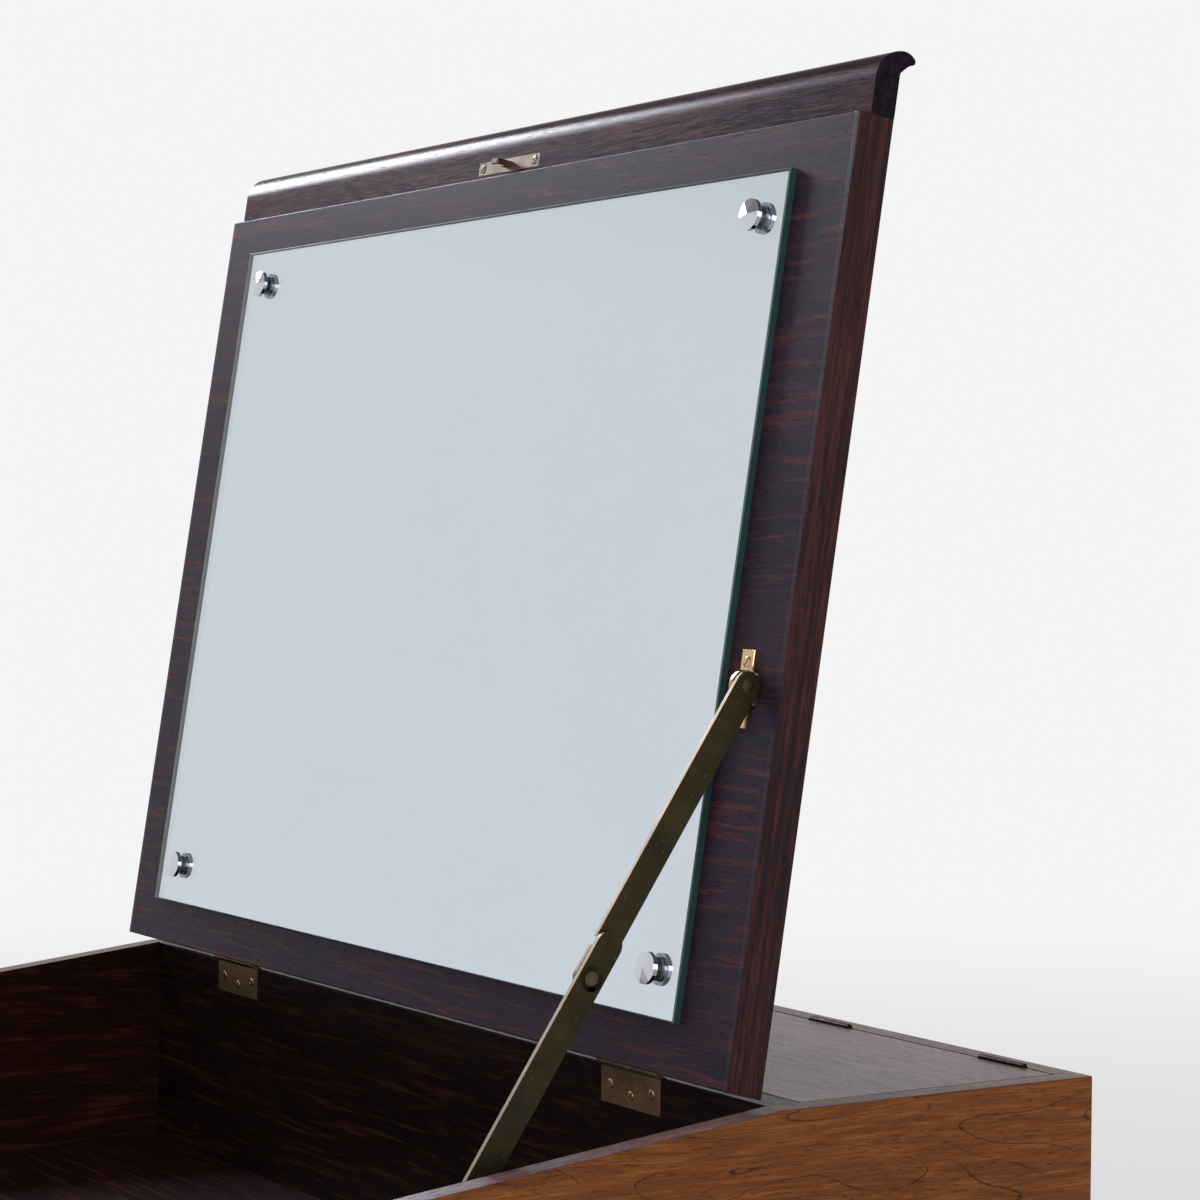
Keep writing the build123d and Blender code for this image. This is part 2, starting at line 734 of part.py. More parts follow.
def foot_rivet():
    """Rivet at the lower end of the stay, flush beside the bracket's boss."""
    return arm_at(lower_x, anchor, stay_angle) * (disc_x(rivet_radius, 0, bar_thick) + rivet_head(0, -1))


def side_bracket():
    """Plate on the right side with a boss that holds the stay clear of the side."""
    seat = half_in - plate_thick
    plate = prism_x(Plane.YZ * SlotCenterToCenter(bracket_pitch, bracket_width), seat, half_in)
    return Pos(0, *anchor) * (plate + disc_x(boss_radius, lower_x + bar_thick + bar_play, seat))


def bracket_screws(maker):
    """Two screws through the bracket into the side."""
    return [Pos(half_in - plate_thick, anchor[0] + s * bracket_pitch / 2, anchor[1]) * Rot(Y=-90)
            * maker(bracket_screw_length) for s in (-1, 1)]


# ---------------------------------------------------------------- lock

lock_y = -(lid_board_length + (front_play + panel / 2) / cos(slope))
lock_mid = y_front + panel / 2
lock_half_thick = panel / 2 - lock_skin
box_half = lock_width / 2 - lock_shoulder
key_z = land_at(lock_mid) - keyhole_drop


def striker_plate():
    """Plate let into the land of the lip, drawn in the lid's flat frame, with its hook below."""
    plate = block(-lock_width / 2, lock_width / 2, lock_y - lock_plate_width / 2,
                  lock_y + lock_plate_width / 2, -lip_thick, -lip_thick + lock_plate_thick)
    y0, y1 = lock_y - hook_thick / 2, lock_y + hook_thick / 2
    hook = block(-hook_width / 2, hook_width / 2, y0, y1, -lip_thick - hook_length, -lip_thick)
    hook = fillet(hook.edges().filter_by(Axis.Y).group_by(Axis.Z)[0], 1.0)
    notch_top = -lip_thick - notch_drop
    return plate + hook - block(-hook_width, hook_width / 2 - hook_neck, y0 - 1, y1 + 1,
                                notch_top - bolt_height - 2 * bolt_play, notch_top)


def striker_screws(maker):
    """Two screws up into the lip."""
    reach = lock_width / 2 - lock_screw_inset
    return [Pos(s * reach, lock_y, -lip_thick) * Rot(X=180) * Rot(Z=35) * maker(striker_screw_length)
            for s in (-1, 1)]


def on_land(shape):
    """Place a piece drawn from the front panel's bevelled top down, square to it."""
    return lid_closed * Pos(0, lock_y, -land_drop) * shape


def in_front(shape):
    """Place a piece drawn upright in the middle of the front panel, from its top down."""
    return Pos(0, lock_mid, land_at(lock_mid)) * shape


def lock_plate():
    """Face plate flush with the bevelled top."""
    return on_land(block(-lock_width / 2, lock_width / 2, -lock_plate_width / 2, lock_plate_width / 2,
                         -lock_plate_thick, 0))


def lock_box(wall=0.0):
    """Box of the lock, or with a wall its inside, up to the bevelled top."""
    half = lock_half_thick - wall
    box = in_front(block(-box_half + wall, box_half - wall, -half, half, -lock_depth + wall, half))
    return box - on_land(block(-box_half, box_half, -panel, panel, -wall / 2, panel))


def lock_screws(maker):
    """Two screws down through the face plate into the front panel."""
    reach = lock_width / 2 - lock_screw_inset
    return [on_land(Pos(s * reach, 0, 0) * Rot(Z=20) * maker(lock_screw_length)) for s in (-1, 1)]


def keyhole(y0, y1):
    """Round hole over a slit, between two Y values."""
    round_part = Pos(0, (y0 + y1) / 2, 0) * Rot(X=90) * Cylinder(keyhole_radius, y1 - y0)
    slit = block(-keyhole_slit / 2, keyhole_slit / 2, y0, y1, -keyhole_foot, 0)
    return Pos(0, 0, key_z) * (round_part + slit)


def lock_case():
    """Mortise lock: face plate, hollow box below it, slot for the hook and keyhole in front."""
    half_slot = hook_thick / 2 + hook_play
    slot = on_land(block(-hook_width / 2 - hook_play, hook_width / 2 + hook_play, -half_slot,
                         half_slot, -2 * lock_plate_thick, panel))
    hollow = lock_box(lock_wall) - lock_plate()
    body = lock_plate() + lock_box() - hollow - slot - keyhole(y_front, lock_mid)
    return body - lock_screws(screw_body)


def lock_bolt():
    """Sliding bolt beside the hook, shown drawn back; it slides to the right to catch the hook."""
    top = front_gap - notch_drop - bolt_play
    half = lock_half_thick - lock_wall - bore_play
    tip = -hook_width / 2 - hook_play
    shoulder = tip - bolt_travel - bolt_play
    tail = -box_half + lock_wall + bolt_play
    nose = block((shoulder + tail) / 2, tip, -bolt_thick / 2, bolt_thick / 2, top - bolt_height, top)
    body = block(tail, shoulder, -half, half, top - bolt_body, top)
    talon = Pos((shoulder + tail) / 2, 0, top - bolt_body) * Rot(X=90) * Cylinder(talon_radius, 3 * half)
    return in_front(body + nose - talon)


def key_plate():
    """Small oval keyhole plate let into the front."""
    oval = extrude(Plane.XZ * Ellipse(key_plate_width / 2, key_plate_height / 2), key_plate_thick,
                   dir=(0, 1, 0))
    return Pos(0, y_front, key_z) * oval


# ---------------------------------------------------------------- flap

def flap_board():
    """Lid of the rear compartment, level with the case, its top edges softened."""
    board = block(-half_in + flap_gap, half_in - flap_gap, y_line + partition_thick + flap_gap,
                  y_back - panel - hinge_gap, case_top - flap_thick + flap_lift, case_top)
    return fillet(board.edges().group_by(Axis.Z)[-1], flap_round)


# ---------------------------------------------------------------- assembly

def case_parts():
    """Boards of the case."""
    floor = floor_panel()
    envelope = case_envelope()
    partition = partition_board() + partition_tongue()
    partition -= [knuckle_cut(lid_butt, a) for a in lid_hinges]
    partition -= [leaf_seat(lid_butt, a, False) for a in lid_hinges]
    side = side_panel_blank() - floor - partition_tongue()
    back = (back_panel_blank() & envelope) - floor
    back -= [knuckle_cut(flap_butt, a) for a in flap_hinges]
    back -= [leaf_seat(flap_butt, a, False) for a in flap_hinges]
    front = (front_panel_blank((1, 2)) & envelope) - floor - lock_plate() - lock_box()
    front -= [key_plate(), keyhole(y_front - panel, lock_mid)] + lock_screws(screw_body)
    return {
        "partition": partition - lid_leaf_screws(screw_body, False),
        "right_side": side - bracket_screws(screw_body),
        "left_side": mirrored(side),
        "back_panel": back - flap_leaf_screws(screw_body, False),
        "front_panel": front,
        "floor_panel": floor,
        "flap_rests": group([flap_rest(), mirrored(flap_rest())]),
    }


def leg_parts():
    """Rails, legs and what joins them."""
    spots = list(leg_places.values())
    bores = [Pos(x, y, 0) * (leg_insert() + leg_stud(bore_play)) for x, y in spots]
    rail_pair = rails()
    parts = {"front_rail": rail_pair[0] - bores[:2], "rear_rail": rail_pair[1] - bores[2:]}
    leg = leg_blank() - leg_stud() - glide(bore_play)
    for name, (x, y) in leg_places.items():
        parts["leg_" + name] = Pos(x, y, 0) * leg
    for name, piece in (("leg_inserts", leg_insert() - leg_stud(bore_play)),
                        ("leg_studs", leg_stud()), ("leg_glides", glide())):
        parts[name] = group(Pos(x, y, 0) * piece for x, y in spots)
    return parts


def hinge_parts():
    """Leaves, pins and screws of the lid's and the flap's hinges."""
    parts = {}
    for side, a in zip(("left", "right"), lid_hinges):
        leaves = [hinge_leaf(lid_butt, a, moving)
                  - lid_leaf_screws(screw_body, moving) for moving in (False, True)]
        parts[f"lid_hinge_{side}_fixed_leaf"] = leaves[0]
        parts[f"lid_hinge_{side}_moving_leaf"] = opening * leaves[1]
        parts[f"lid_hinge_{side}_pin"] = hinge_pin(lid_butt, a)
    parts["lid_hinge_case_screws"] = group(lid_leaf_screws(screw, False))
    parts["lid_hinge_lid_screws"] = group(opening * s for s in lid_leaf_screws(screw, True))
    for number, a in enumerate(flap_hinges, 1):
        for moving, word in ((False, "fixed"), (True, "moving")):
            leaf = hinge_leaf(flap_butt, a, moving)
            parts[f"flap_hinge_{number}_{word}_leaf"] = leaf - flap_leaf_screws(screw_body, moving)
    parts["flap_hinge_pins"] = group(hinge_pin(flap_butt, a) for a in flap_hinges)
    parts["flap_hinge_case_screws"] = group(flap_leaf_screws(screw, False))
    parts["flap_hinge_flap_screws"] = group(flap_leaf_screws(screw, True))
    return parts


def flap_part():
    """The flap with room for its hinges."""
    flap = flap_board() - [knuckle_cut(flap_butt, a) for a in flap_hinges]
    flap -= [leaf_seat(flap_butt, a, True) for a in flap_hinges]
    return flap - flap_leaf_screws(screw_body, True)


def lid_parts():
    """The lid's own pieces, swung open."""
    shut = lid_closed.inverse()
    hinge_room = [shut * knuckle_cut(lid_butt, a) for a in lid_hinges]
    hinge_room += [shut * leaf_seat(lid_butt, a, True) for a in lid_hinges]
    hinge_room += [shut * s for s in lid_leaf_screws(screw_body, True)]
    board = prism_x(lid_section(), -lid_half + edging, lid_half - edging) - hinge_room
    board -= [lip_tongue()] + on_glass(mirror_screw_body()) + lug_screws(screw_body)
    edge = prism_x(lid_section(), lid_half - edging, lid_half)
    striker = striker_plate()
    lip = prism_x(lip_face(), -lid_half, lid_half) + lip_tongue() - striker
    flat = {
        "lid_board": board,
        "lid_edging_right": edge,
        "lid_edging_left": mirrored(edge),
        "lid_lip": lip - striker_screws(screw_body),
        "mirror_glass": mirror_glass(),
        "mirror_bushes": group(on_glass(glass_bush())),
        "mirror_screws": group(on_glass(mirror_screw_body())),
        "mirror_caps": group(on_glass(mirror_cap())),
        "lock_striker": striker - striker_screws(screw_body),
        "lock_striker_screws": group(striker_screws(screw)),
        "stay_lug": lug() - lug_screws(screw_body) - lug_rivet(),
        "stay_lug_screws": group(lug_screws(screw)),
        "stay_lug_rivet": lug_rivet(),
    }
    return {name: lid_open * shape for name, shape in flat.items()}


def stay_parts():
    """Both arms and the bracket on the side."""
    return {
        "stay_upper_arm": upper_arm(),
        "stay_lower_arm": lower_arm(),
        "stay_elbow_rivet": elbow_rivet(),
        "stay_foot_rivet": foot_rivet(),
        "stay_bracket": side_bracket() - bracket_screws(screw_body),
        "stay_bracket_screws": group(bracket_screws(screw)),
    }


def lock_parts():
    """Lock in the front panel."""
    return {
        "lock_case": lock_case(),
        "lock_case_screws": group(lock_screws(screw)),
        "lock_bolt": lock_bolt(),
        "keyhole_plate": key_plate() - keyhole(y_front - panel, lock_mid),
    }


def main():
    os.makedirs("parts", exist_ok=True)
    for make in (case_parts, leg_parts, hinge_parts, lid_parts, stay_parts, lock_parts):
        for name, shape in make().items():
            export_step(shape, f"parts/{name}.step")
    export_step(flap_part(), "parts/rear_flap.step")
    print("lid travel", round(travel, 3), "axis", [round(c, 3) for c in lid_axis])
    print("flap axis", [round(c, 3) for c in flap_axis])
    print("case depth", round(case_depth, 3))
    print("stay arms", round(stay_upper_length, 3), round(stay_lower_length, 3))
    print("upper arm turns", round(upper_turn, 3), "lower arm turns", round(lower_turn, 3))


main()
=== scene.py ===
# %% [markdown]
# # A slant-top vanity table with its mirror lid open
#
# This lesson dresses a finished CAD model of a rosewood vanity table. The boards, hinges, lock and
# legs are already there as solids, so the work is in three parts: a camera and light that show
# them as in a studio, small metal pieces modelled by hand where the solids are too plain, and
# finishes made from shader nodes. Each step says what the real thing is before it is made.

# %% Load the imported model
import bpy
import json
from math import cos, pi, radians, sin
from mathutils import Matrix, Vector


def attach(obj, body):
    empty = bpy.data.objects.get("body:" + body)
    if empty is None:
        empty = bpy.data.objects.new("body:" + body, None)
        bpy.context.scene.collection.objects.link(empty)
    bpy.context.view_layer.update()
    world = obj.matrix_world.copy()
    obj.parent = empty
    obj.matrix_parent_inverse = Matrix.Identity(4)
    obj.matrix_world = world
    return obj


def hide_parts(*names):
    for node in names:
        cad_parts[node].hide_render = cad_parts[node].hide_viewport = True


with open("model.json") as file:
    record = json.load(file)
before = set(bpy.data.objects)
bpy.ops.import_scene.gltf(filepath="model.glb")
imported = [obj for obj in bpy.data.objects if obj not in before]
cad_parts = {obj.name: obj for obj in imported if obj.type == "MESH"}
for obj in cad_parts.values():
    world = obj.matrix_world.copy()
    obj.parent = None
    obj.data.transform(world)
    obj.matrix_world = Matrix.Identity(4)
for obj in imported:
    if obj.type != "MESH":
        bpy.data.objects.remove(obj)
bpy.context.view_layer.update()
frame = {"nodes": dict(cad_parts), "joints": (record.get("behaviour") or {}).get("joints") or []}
nodes = frame["nodes"]
mm = 0.001

# %% [markdown]
# ## The frames that pieces are drawn in
#
# The lid leans back, and everything on it was drawn flat before it was swung open. Working in that
# flat frame keeps the numbers simple: X runs along the hinge line, -Y away from it, and -Z is the
# side that carries the mirror. The hinge's place comes from the model's own joint, so that the
# frame can't drift from the solids, and the folding stay's rivets sit on the model's own pivots
# too.

# %% The lid's flat frame
top_slope = radians(6.5)
hinge_gap = 1.0 * mm
axis_rise = 1.5 * mm
lid_thick = 19.0 * mm
glass_thick = 4.0 * mm
joints = {joint["name"]: joint for joint in frame["joints"]}
hinge_line = Vector(joints["lid_hinge"]["pos_m"])
travel = radians(joints["lid_hinge"]["range_deg"][1])
swing = Matrix.Rotation(-travel, 4, "X") @ Matrix.Translation((0, -hinge_gap / 2, -axis_rise))
lid_frame = Matrix.Translation(hinge_line) @ swing @ Matrix.Rotation(top_slope, 4, "X")
lid_length = lid_frame.to_3x3() @ Vector((0, 1, 0))
lid_normal = lid_frame.to_3x3() @ Vector((0, 0, -1))
case_top = hinge_line.z - axis_rise
hinge_y = hinge_line.y + hinge_gap / 2
print("lid frame at", lid_frame.translation, "its inner face looks along", lid_normal)

# %% The stay's pivots
lug_pivot = Vector(joints["stay_lug_pivot"]["pos_m"])
elbow_pivot = Vector(joints["stay_elbow"]["pos_m"])
print("stay pivots at", lug_pivot, "and", elbow_pivot)

# %% [markdown]
# ## Camera
#
# The table is seen from its right, low and close to the front edge, with a long lens that keeps
# the lid's sides almost parallel. The camera's axes are written as three directions and put in a
# matrix, which is exact where turning by hand is fiddly.

# %% Camera
yaw, pitch, roll = radians(57.301), radians(-1.128), radians(0.569)
from_middle, before_hinge, over_top = 1.4051, 0.7895, 0.2455
sensor_mm, lens_mm = 36.0, 93.376
ahead = Vector((-sin(yaw) * cos(pitch), cos(yaw) * cos(pitch), sin(pitch)))
level = Vector((cos(yaw), sin(yaw), 0))
above = level.cross(ahead)
right = level * cos(roll) + above * sin(roll)
up = above * cos(roll) - level * sin(roll)
stand = (from_middle, hinge_y - before_hinge, case_top + over_top)
bpy.ops.object.camera_add(location=stand)
camera = bpy.context.object
turned = Matrix((right, up, -ahead)).transposed().to_4x4()
camera.matrix_world = Matrix.Translation(camera.location) @ turned
camera.data.sensor_width = sensor_mm
camera.data.lens = lens_mm
camera.data.clip_start = 0.05
bpy.context.scene.camera = camera
bpy.context.scene.view_settings.view_transform = "Standard"
print("camera at", camera.location)

# %% [markdown]
# ## Shader sums written as Python
#
# A finish is a sum of patterns, and sums are easier to read as `dark + mask * 0.5` than as
# wired-up nodes. `Reading` wraps one socket and turns ordinary arithmetic into Math nodes.
# `Finish` owns a material and adds any other node from its type, settings and inputs.


# %% One socket with arithmetic
class Reading:
    """A value that changes over a surface."""

    def __init__(self, finish, socket):
        self.finish = finish
        self.socket = socket

    def sum_with(self, operation, first, second=0.0):
        return self.finish.node("ShaderNodeMath", {"operation": operation}, {0: first, 1: second})

    def __add__(self, other):
        return self.sum_with("ADD", self, other)

    def __sub__(self, other):
        return self.sum_with("SUBTRACT", self, other)

    def __rsub__(self, other):
        return self.sum_with("SUBTRACT", other, self)

    def __mul__(self, other):
        return self.sum_with("MULTIPLY", self, other)

    def __gt__(self, other):
        return self.sum_with("GREATER_THAN", self, other)

    def __abs__(self):
        return self.sum_with("ABSOLUTE", self)

    __radd__ = __add__
    __rmul__ = __mul__


print("arithmetic ready")


# %% One material with its nodes
class Finish:
    """A material under construction."""

    def __init__(self, name, **constants):
        self.material = bpy.data.materials.new(name)
        self.material.use_nodes = True
        self.tree = self.material.node_tree
        self.shader = self.tree.nodes["Principled BSDF"]
        for socket, value in constants.items():
            self.shader.inputs[socket.replace("_", " ")].default_value = value

    def node(self, kind, settings=None, inputs=None, output=0):
        made = self.tree.nodes.new(kind)
        for name, value in (settings or {}).items():
            setattr(made, name, value)
        for key, value in (inputs or {}).items():
            self.feed(made.inputs[key], value)
        return Reading(self, made.outputs[output])

    def feed(self, socket, value):
        if isinstance(value, Reading):
            self.tree.links.new(value.socket, socket)
        else:
            socket.default_value = value

    def set(self, socket, value):
        self.feed(self.shader.inputs[socket], value)


print("shader sums ready")


# %% Patterns that the finishes share
def place(finish, scale=(1, 1, 1), turn=(0, 0, 0), move=(0, 0, 0)):
    """Object coordinates in metres, stretched and turned."""
    where = finish.node("ShaderNodeTexCoord", output="Object")
    settings = {"vector_type": "POINT"}
    inputs = {"Vector": where, "Location": move, "Rotation": turn, "Scale": scale}
    return finish.node("ShaderNodeMapping", settings, inputs)


def mottle(finish, where, detail=3.0, rough=0.55):
    """Soft noise between 0 and 1."""
    inputs = {"Vector": where, "Scale": 1.0, "Detail": detail, "Roughness": rough}
    return finish.node("ShaderNodeTexNoise", {}, inputs)


def between(finish, value, low, high):
    """0 below low, 1 above high, smooth in between."""
    settings = {"interpolation_type": "SMOOTHSTEP"}
    inputs = {"Value": value, "From Min": low, "From Max": high}
    return finish.node("ShaderNodeMapRange", settings, inputs)


def blend(finish, mask, first, second):
    """One colour over another."""
    settings = {"data_type": "RGBA"}
    inputs = {0: mask, 6: first, 7: second}
    return finish.node("ShaderNodeMix", settings, inputs, output=2)


def bumped(finish, height, strength, depth):
    """A normal from a height, with its depth in metres."""
    inputs = {"Height": height, "Strength": strength, "Distance": depth}
    return finish.node("ShaderNodeBump", {}, inputs)


def looking(finish, direction):
    """1 where the surface looks along a direction of the piece's frame, -1 where it looks away."""
    normal = finish.node("ShaderNodeTexCoord", output="Normal")
    settings = {"operation": "DOT_PRODUCT"}
    return finish.node("ShaderNodeVectorMath", settings, {0: normal, 1: tuple(direction)}, "Value")


def beyond(finish, axis, reach):
    """1 where the surface lies further from the table's middle than reach, along X, Y or Z."""
    where = finish.node("ShaderNodeTexCoord", output="Object")
    return abs(finish.node("ShaderNodeSeparateXYZ", {}, {0: where}, axis)) > reach


def tint(red, green, blue):
    return (red, green, blue, 1.0)


print("patterns ready")

# %% [markdown]
# ## Rosewood
#
# Rosewood is a dark, oily wood: red-brown streaks lie in a nearly black ground, thin dark lines
# show where the saw crossed the year rings, and short open pores lie along the grain everywhere.
# All of that is one idea at several sizes, noise that is stretched along the grain. A slow drift
# bends the grain first, because a pattern that is only stretched looks ruled. The saw's lines are
# contours: a slow noise is folded at even steps, and a thin band at each fold becomes a line, so
# the lines close into rings and pointed arches as they do on a real board.


# %% Grain and its patches
def laid_along(direction):
    """The turn that lays a pattern's X along a direction."""
    return tuple(Vector(direction).rotation_difference(Vector((1, 0, 0))).to_euler())


def grain_of(wood, direction, shift=0.0, swell=0.03):
    """Coordinates whose X runs along the grain, gently bent."""
    flat = place(wood, (1, 1, 1), laid_along(direction), (shift, shift * 0.7, shift * 0.4))
    slow = wood.node("ShaderNodeMapping", {}, {"Vector": flat, "Scale": (2.6, 11, 11)})
    drift = (mottle(wood, slow, 2.0) - 0.5) * swell
    cross = wood.node("ShaderNodeCombineXYZ", {}, {0: 0.0, 1: drift, 2: drift})
    return wood.node("ShaderNodeVectorMath", {"operation": "ADD"}, {0: flat, 1: cross})


def patches(wood, grain, length, width, detail=3.0, rough=0.6):
    """Noise whose patches have about this length and width, in millimetres."""
    scale = (1 / (length * mm), 1 / (width * mm), 1 / (width * mm))
    stretched = wood.node("ShaderNodeMapping", {}, {"Vector": grain, "Scale": scale})
    return mottle(wood, stretched, detail, rough)


def contours(wood, grain, length, width, steps, thick):
    """Thin broken lines where a slow noise crosses even steps."""
    slow = patches(wood, grain, length, width, 2.0, 0.42) * steps
    height = slow + patches(wood, grain, 9, 1.6) * 0.12
    folded = wood.node("ShaderNodeMath", {"operation": "PINGPONG"}, {0: height, 1: 0.5})
    whole = between(wood, patches(wood, grain, 60, 9), 0.36, 0.52)
    return between(wood, folded, 0.5 - thick, 0.5) * whole


print("grain ready")


# %% Rosewood
usual_red = (0.50, 0.66)
lip_end = 311.2 * mm


def figured(wood, grain, colours, red, lines):
    """Streaks, saw lines and pores along one grain; gives the colour, the threads and the pores."""
    dark, warm, line = colours
    streaks = between(wood, patches(wood, grain, 70, 3.4, 4.5, 0.66), *red)
    threads = between(wood, patches(wood, grain, 26, 0.9, 3.0, 0.7), 0.34, 0.66)
    pores = between(wood, patches(wood, grain, 7, 0.6, 2.0), 0.58, 0.68)
    clouds = patches(wood, grain, 240, 40, 2.0)
    figure = streaks * (threads * 0.6 + 0.4) + threads * 0.2 + (clouds - 0.5) * 0.5
    body = blend(wood, figure, dark, warm)
    if lines:
        body = blend(wood, contours(wood, grain, 260, 55, 16.0, 0.035) * lines, body, line)
    return blend(wood, pores * 0.6, body, line), threads, pores


def rosewood(name, direction, colours, others=(), red=usual_red, lines=0.0, shift=0.0,
             gloss=0.34, sheen=0.12, swell=0.03, end_grain=False):
    """One board's wood. Each of others is a face that differs: mask, direction, shift, colours."""
    wood = Finish(name, Specular_IOR_Level=sheen, Specular_Tint=tint(0.88, 0.90, 1.0))
    grain = grain_of(wood, direction, shift, swell)
    colour, threads, pores = figured(wood, grain, colours, red, lines)
    for mask, face_direction, face_shift, face_colours in others:
        face_grain = grain_of(wood, face_direction, face_shift)
        face_colour = figured(wood, face_grain, face_colours, usual_red, 0)[0]
        colour = blend(wood, mask(wood), colour, face_colour)
    if end_grain:
        ends = beyond(wood, "X", lip_end)
        rings = between(wood, mottle(wood, place(wood, (700, 260, 260)), 3.0), 0.35, 0.7)
        colour = blend(wood, ends, colour, blend(wood, rings, colours[2], colours[0]))
    wood.set("Base Color", colour)
    wood.set("Roughness", gloss + threads * 0.08 + pores * 0.2)
    wood.set("Normal", bumped(wood, threads * 0.25 - pores, 0.25, 0.00006))
    return wood.material


print("rosewood ready")

# %% [markdown]
# The same wood is used in several ways. The lid and the inside were never in the sun and stayed
# dark; the inside's colours are darker still, as painted shade of the case's hollow. The outside of
# the case has faded to orange-brown. The tops and the flap take the wood's tone with the sheen
# along them painted in, greyer and pinker. The lip, edgings and legs are solid. Each gets its own
# colours, as a dark ground, a warm streak and a nearly black line, and its own direction of grain.
# One board may need several, since its faces aged apart or carry painted shade or sheen, so a mask
# picks a face by the way it looks or by how far it lies from the table's middle.

# %% Veneers
along_x, along_y, along_z = (1, 0, 0), (0, 1, 0), (0, 0, 1)
lid_colours = tint(0.0165, 0.0130, 0.0260), tint(0.082, 0.0240, 0.0260), tint(0.005, 0.004, 0.007)
# The floor, case and lining colours are the unfaded wood made darker still: painted shade inside
# the case.
floor_and_shade_colours = tint(0.011, 0.0055, 0.006), tint(0.072, 0.0205, 0.018), tint(0.0025, 0.0015, 0.0015)
case_and_shade_colours = tint(0.0065, 0.0030, 0.0032), tint(0.042, 0.0118, 0.0100), tint(0.0015, 0.001, 0.001)
lining_and_shade_colours = tint(0.013, 0.005, 0.0038), tint(0.062, 0.018, 0.0105), tint(0.0025, 0.0015, 0.001)
faded_colours = tint(0.128, 0.041, 0.0115), tint(0.285, 0.098, 0.028), tint(0.020, 0.009, 0.005)
# The top and flap colours are the wood's tone with a painted sheen in it, which makes them greyer
# and pinker.
top_and_sheen_colours = tint(0.110, 0.058, 0.056), tint(0.250, 0.132, 0.126), tint(0.020, 0.012, 0.012)
flap_and_sheen_colours = tint(0.130, 0.074, 0.074), tint(0.320, 0.185, 0.180), tint(0.024, 0.014, 0.014)


def within(axis, reach):
    """The mask of a board's face inside the case, whose colours carry painted shade."""
    return lambda wood: 1 - beyond(wood, axis, reach)


def upward_with_sheen(wood):
    """The mask of a board's top, whose colours carry a painted sheen."""
    return looking(wood, along_z) > 0.8


def lid_outside(wood):
    """The mask of the lid's outer face, which has faded like the case."""
    return between(wood, looking(wood, -lid_normal), 0.15, 0.75)


sides_inside, panels_inside = 312.7 * mm, 298.7 * mm
outer_look = {"red": (0.30, 0.75), "lines": 0.85, "gloss": 0.26, "sheen": 0.07}
lid_veneer = rosewood("rosewood_lid_inside", along_x, lid_colours, shift=0.31, gloss=0.36,
                      sheen=0.08, others=[(lid_outside, along_x, 3.3, faded_colours)])
# The partition's and the floor's colours carry painted shade of the case's inside.
lining = rosewood("rosewood_inside_case_painted_shade", along_x, case_and_shade_colours, shift=1.7, gloss=0.3, sheen=0.07)
floor_veneer = rosewood("rosewood_case_floor_painted_shade", along_x, floor_and_shade_colours, shift=6.4, gloss=0.3,
                        sheen=0.1)
# On the outer boards, inner faces take colours with painted shade, and tops take colours with
# painted sheen.
side_veneer = rosewood("rosewood_outer_sides", along_y, faded_colours,
                       [(within("X", sides_inside), along_y, 0.9, lining_and_shade_colours),
                        (upward_with_sheen, along_y, 2.6, top_and_sheen_colours)], shift=0.9, **outer_look)
long_veneer = rosewood("rosewood_outer_front_and_back", along_x, faded_colours,
                       [(within("Y", panels_inside), along_x, 3.3, lining_and_shade_colours),
                        (upward_with_sheen, along_x, 2.6, top_and_sheen_colours)], shift=3.3, **outer_look)
# The flap's colours have part of its sheen painted in, on top of its strong shine setting.
flap_veneer = rosewood("rosewood_flap_painted_sheen", along_x, flap_and_sheen_colours, red=(0.35, 0.7), lines=0.25,
                       shift=2.6, gloss=0.34, sheen=0.8)
print("veneers ready")

# %% Solid rosewood
lip_colours = tint(0.0170, 0.0085, 0.0170), tint(0.082, 0.0250, 0.0250), tint(0.005, 0.003, 0.004)
edging_colours = tint(0.019, 0.0085, 0.0110), tint(0.074, 0.023, 0.019), tint(0.005, 0.003, 0.003)
leg_colours = tint(0.040, 0.014, 0.009), tint(0.105, 0.036, 0.019), tint(0.010, 0.005, 0.004)
lip_wood = rosewood("rosewood_solid_lip", along_x, lip_colours, red=(0.42, 0.66), shift=3.9,
                    gloss=0.22, sheen=0.06, end_grain=True,
                    others=[(lid_outside, along_x, 3.3, faded_colours)])
edging_wood = rosewood("rosewood_solid_edging", lid_length, edging_colours,
                       [(lambda wood: looking(wood, lid_normal) > 0.9, along_x, 0.31, lid_colours),
                        (lid_outside, along_x, 3.3, faded_colours)],
                       red=(0.40, 0.62), shift=4.4, gloss=0.34, swell=0.012)
leg_wood = rosewood("rosewood_solid_legs", along_z, leg_colours, red=(0.35, 0.65), lines=0.4,
                    shift=5.2, gloss=0.3, sheen=0.3, swell=0.012)
print("solid woods ready")

# %% [markdown]
# ## Metals, glass and the small parts
#
# Old brass is never even: it is darker and duller where hands don't rub it. A slow cloud of noise
# moves both colour and roughness, and a fine brushed pattern breaks the shine. The stay's flat
# faces are a dark olive, partly tarnished and partly a painted dark reflection, while the narrow
# edges are still bright, so its finish asks which way the surface looks. The mirror is plate glass
# with silver behind it, made as it is on the real one, because a fixing's reflection stands off
# from the fixing by twice the glass.


# %% Brass, chrome and steel
def metal(name, clean, worn, gloss, dull, brushed=0.3):
    """Metal with tarnish clouds and fine scratches."""
    made = Finish(name, Metallic=1.0)
    clouds = between(made, mottle(made, place(made, (38, 38, 38)), 4.0, 0.6), 0.36, 0.66)
    scratches = mottle(made, place(made, (2600, 260, 2600)), 2.0)
    made.set("Base Color", blend(made, clouds, clean, worn))
    made.set("Roughness", gloss + clouds * (dull - gloss) + scratches * 0.06)
    made.set("Normal", bumped(made, scratches, brushed, 0.00002))
    return made.material


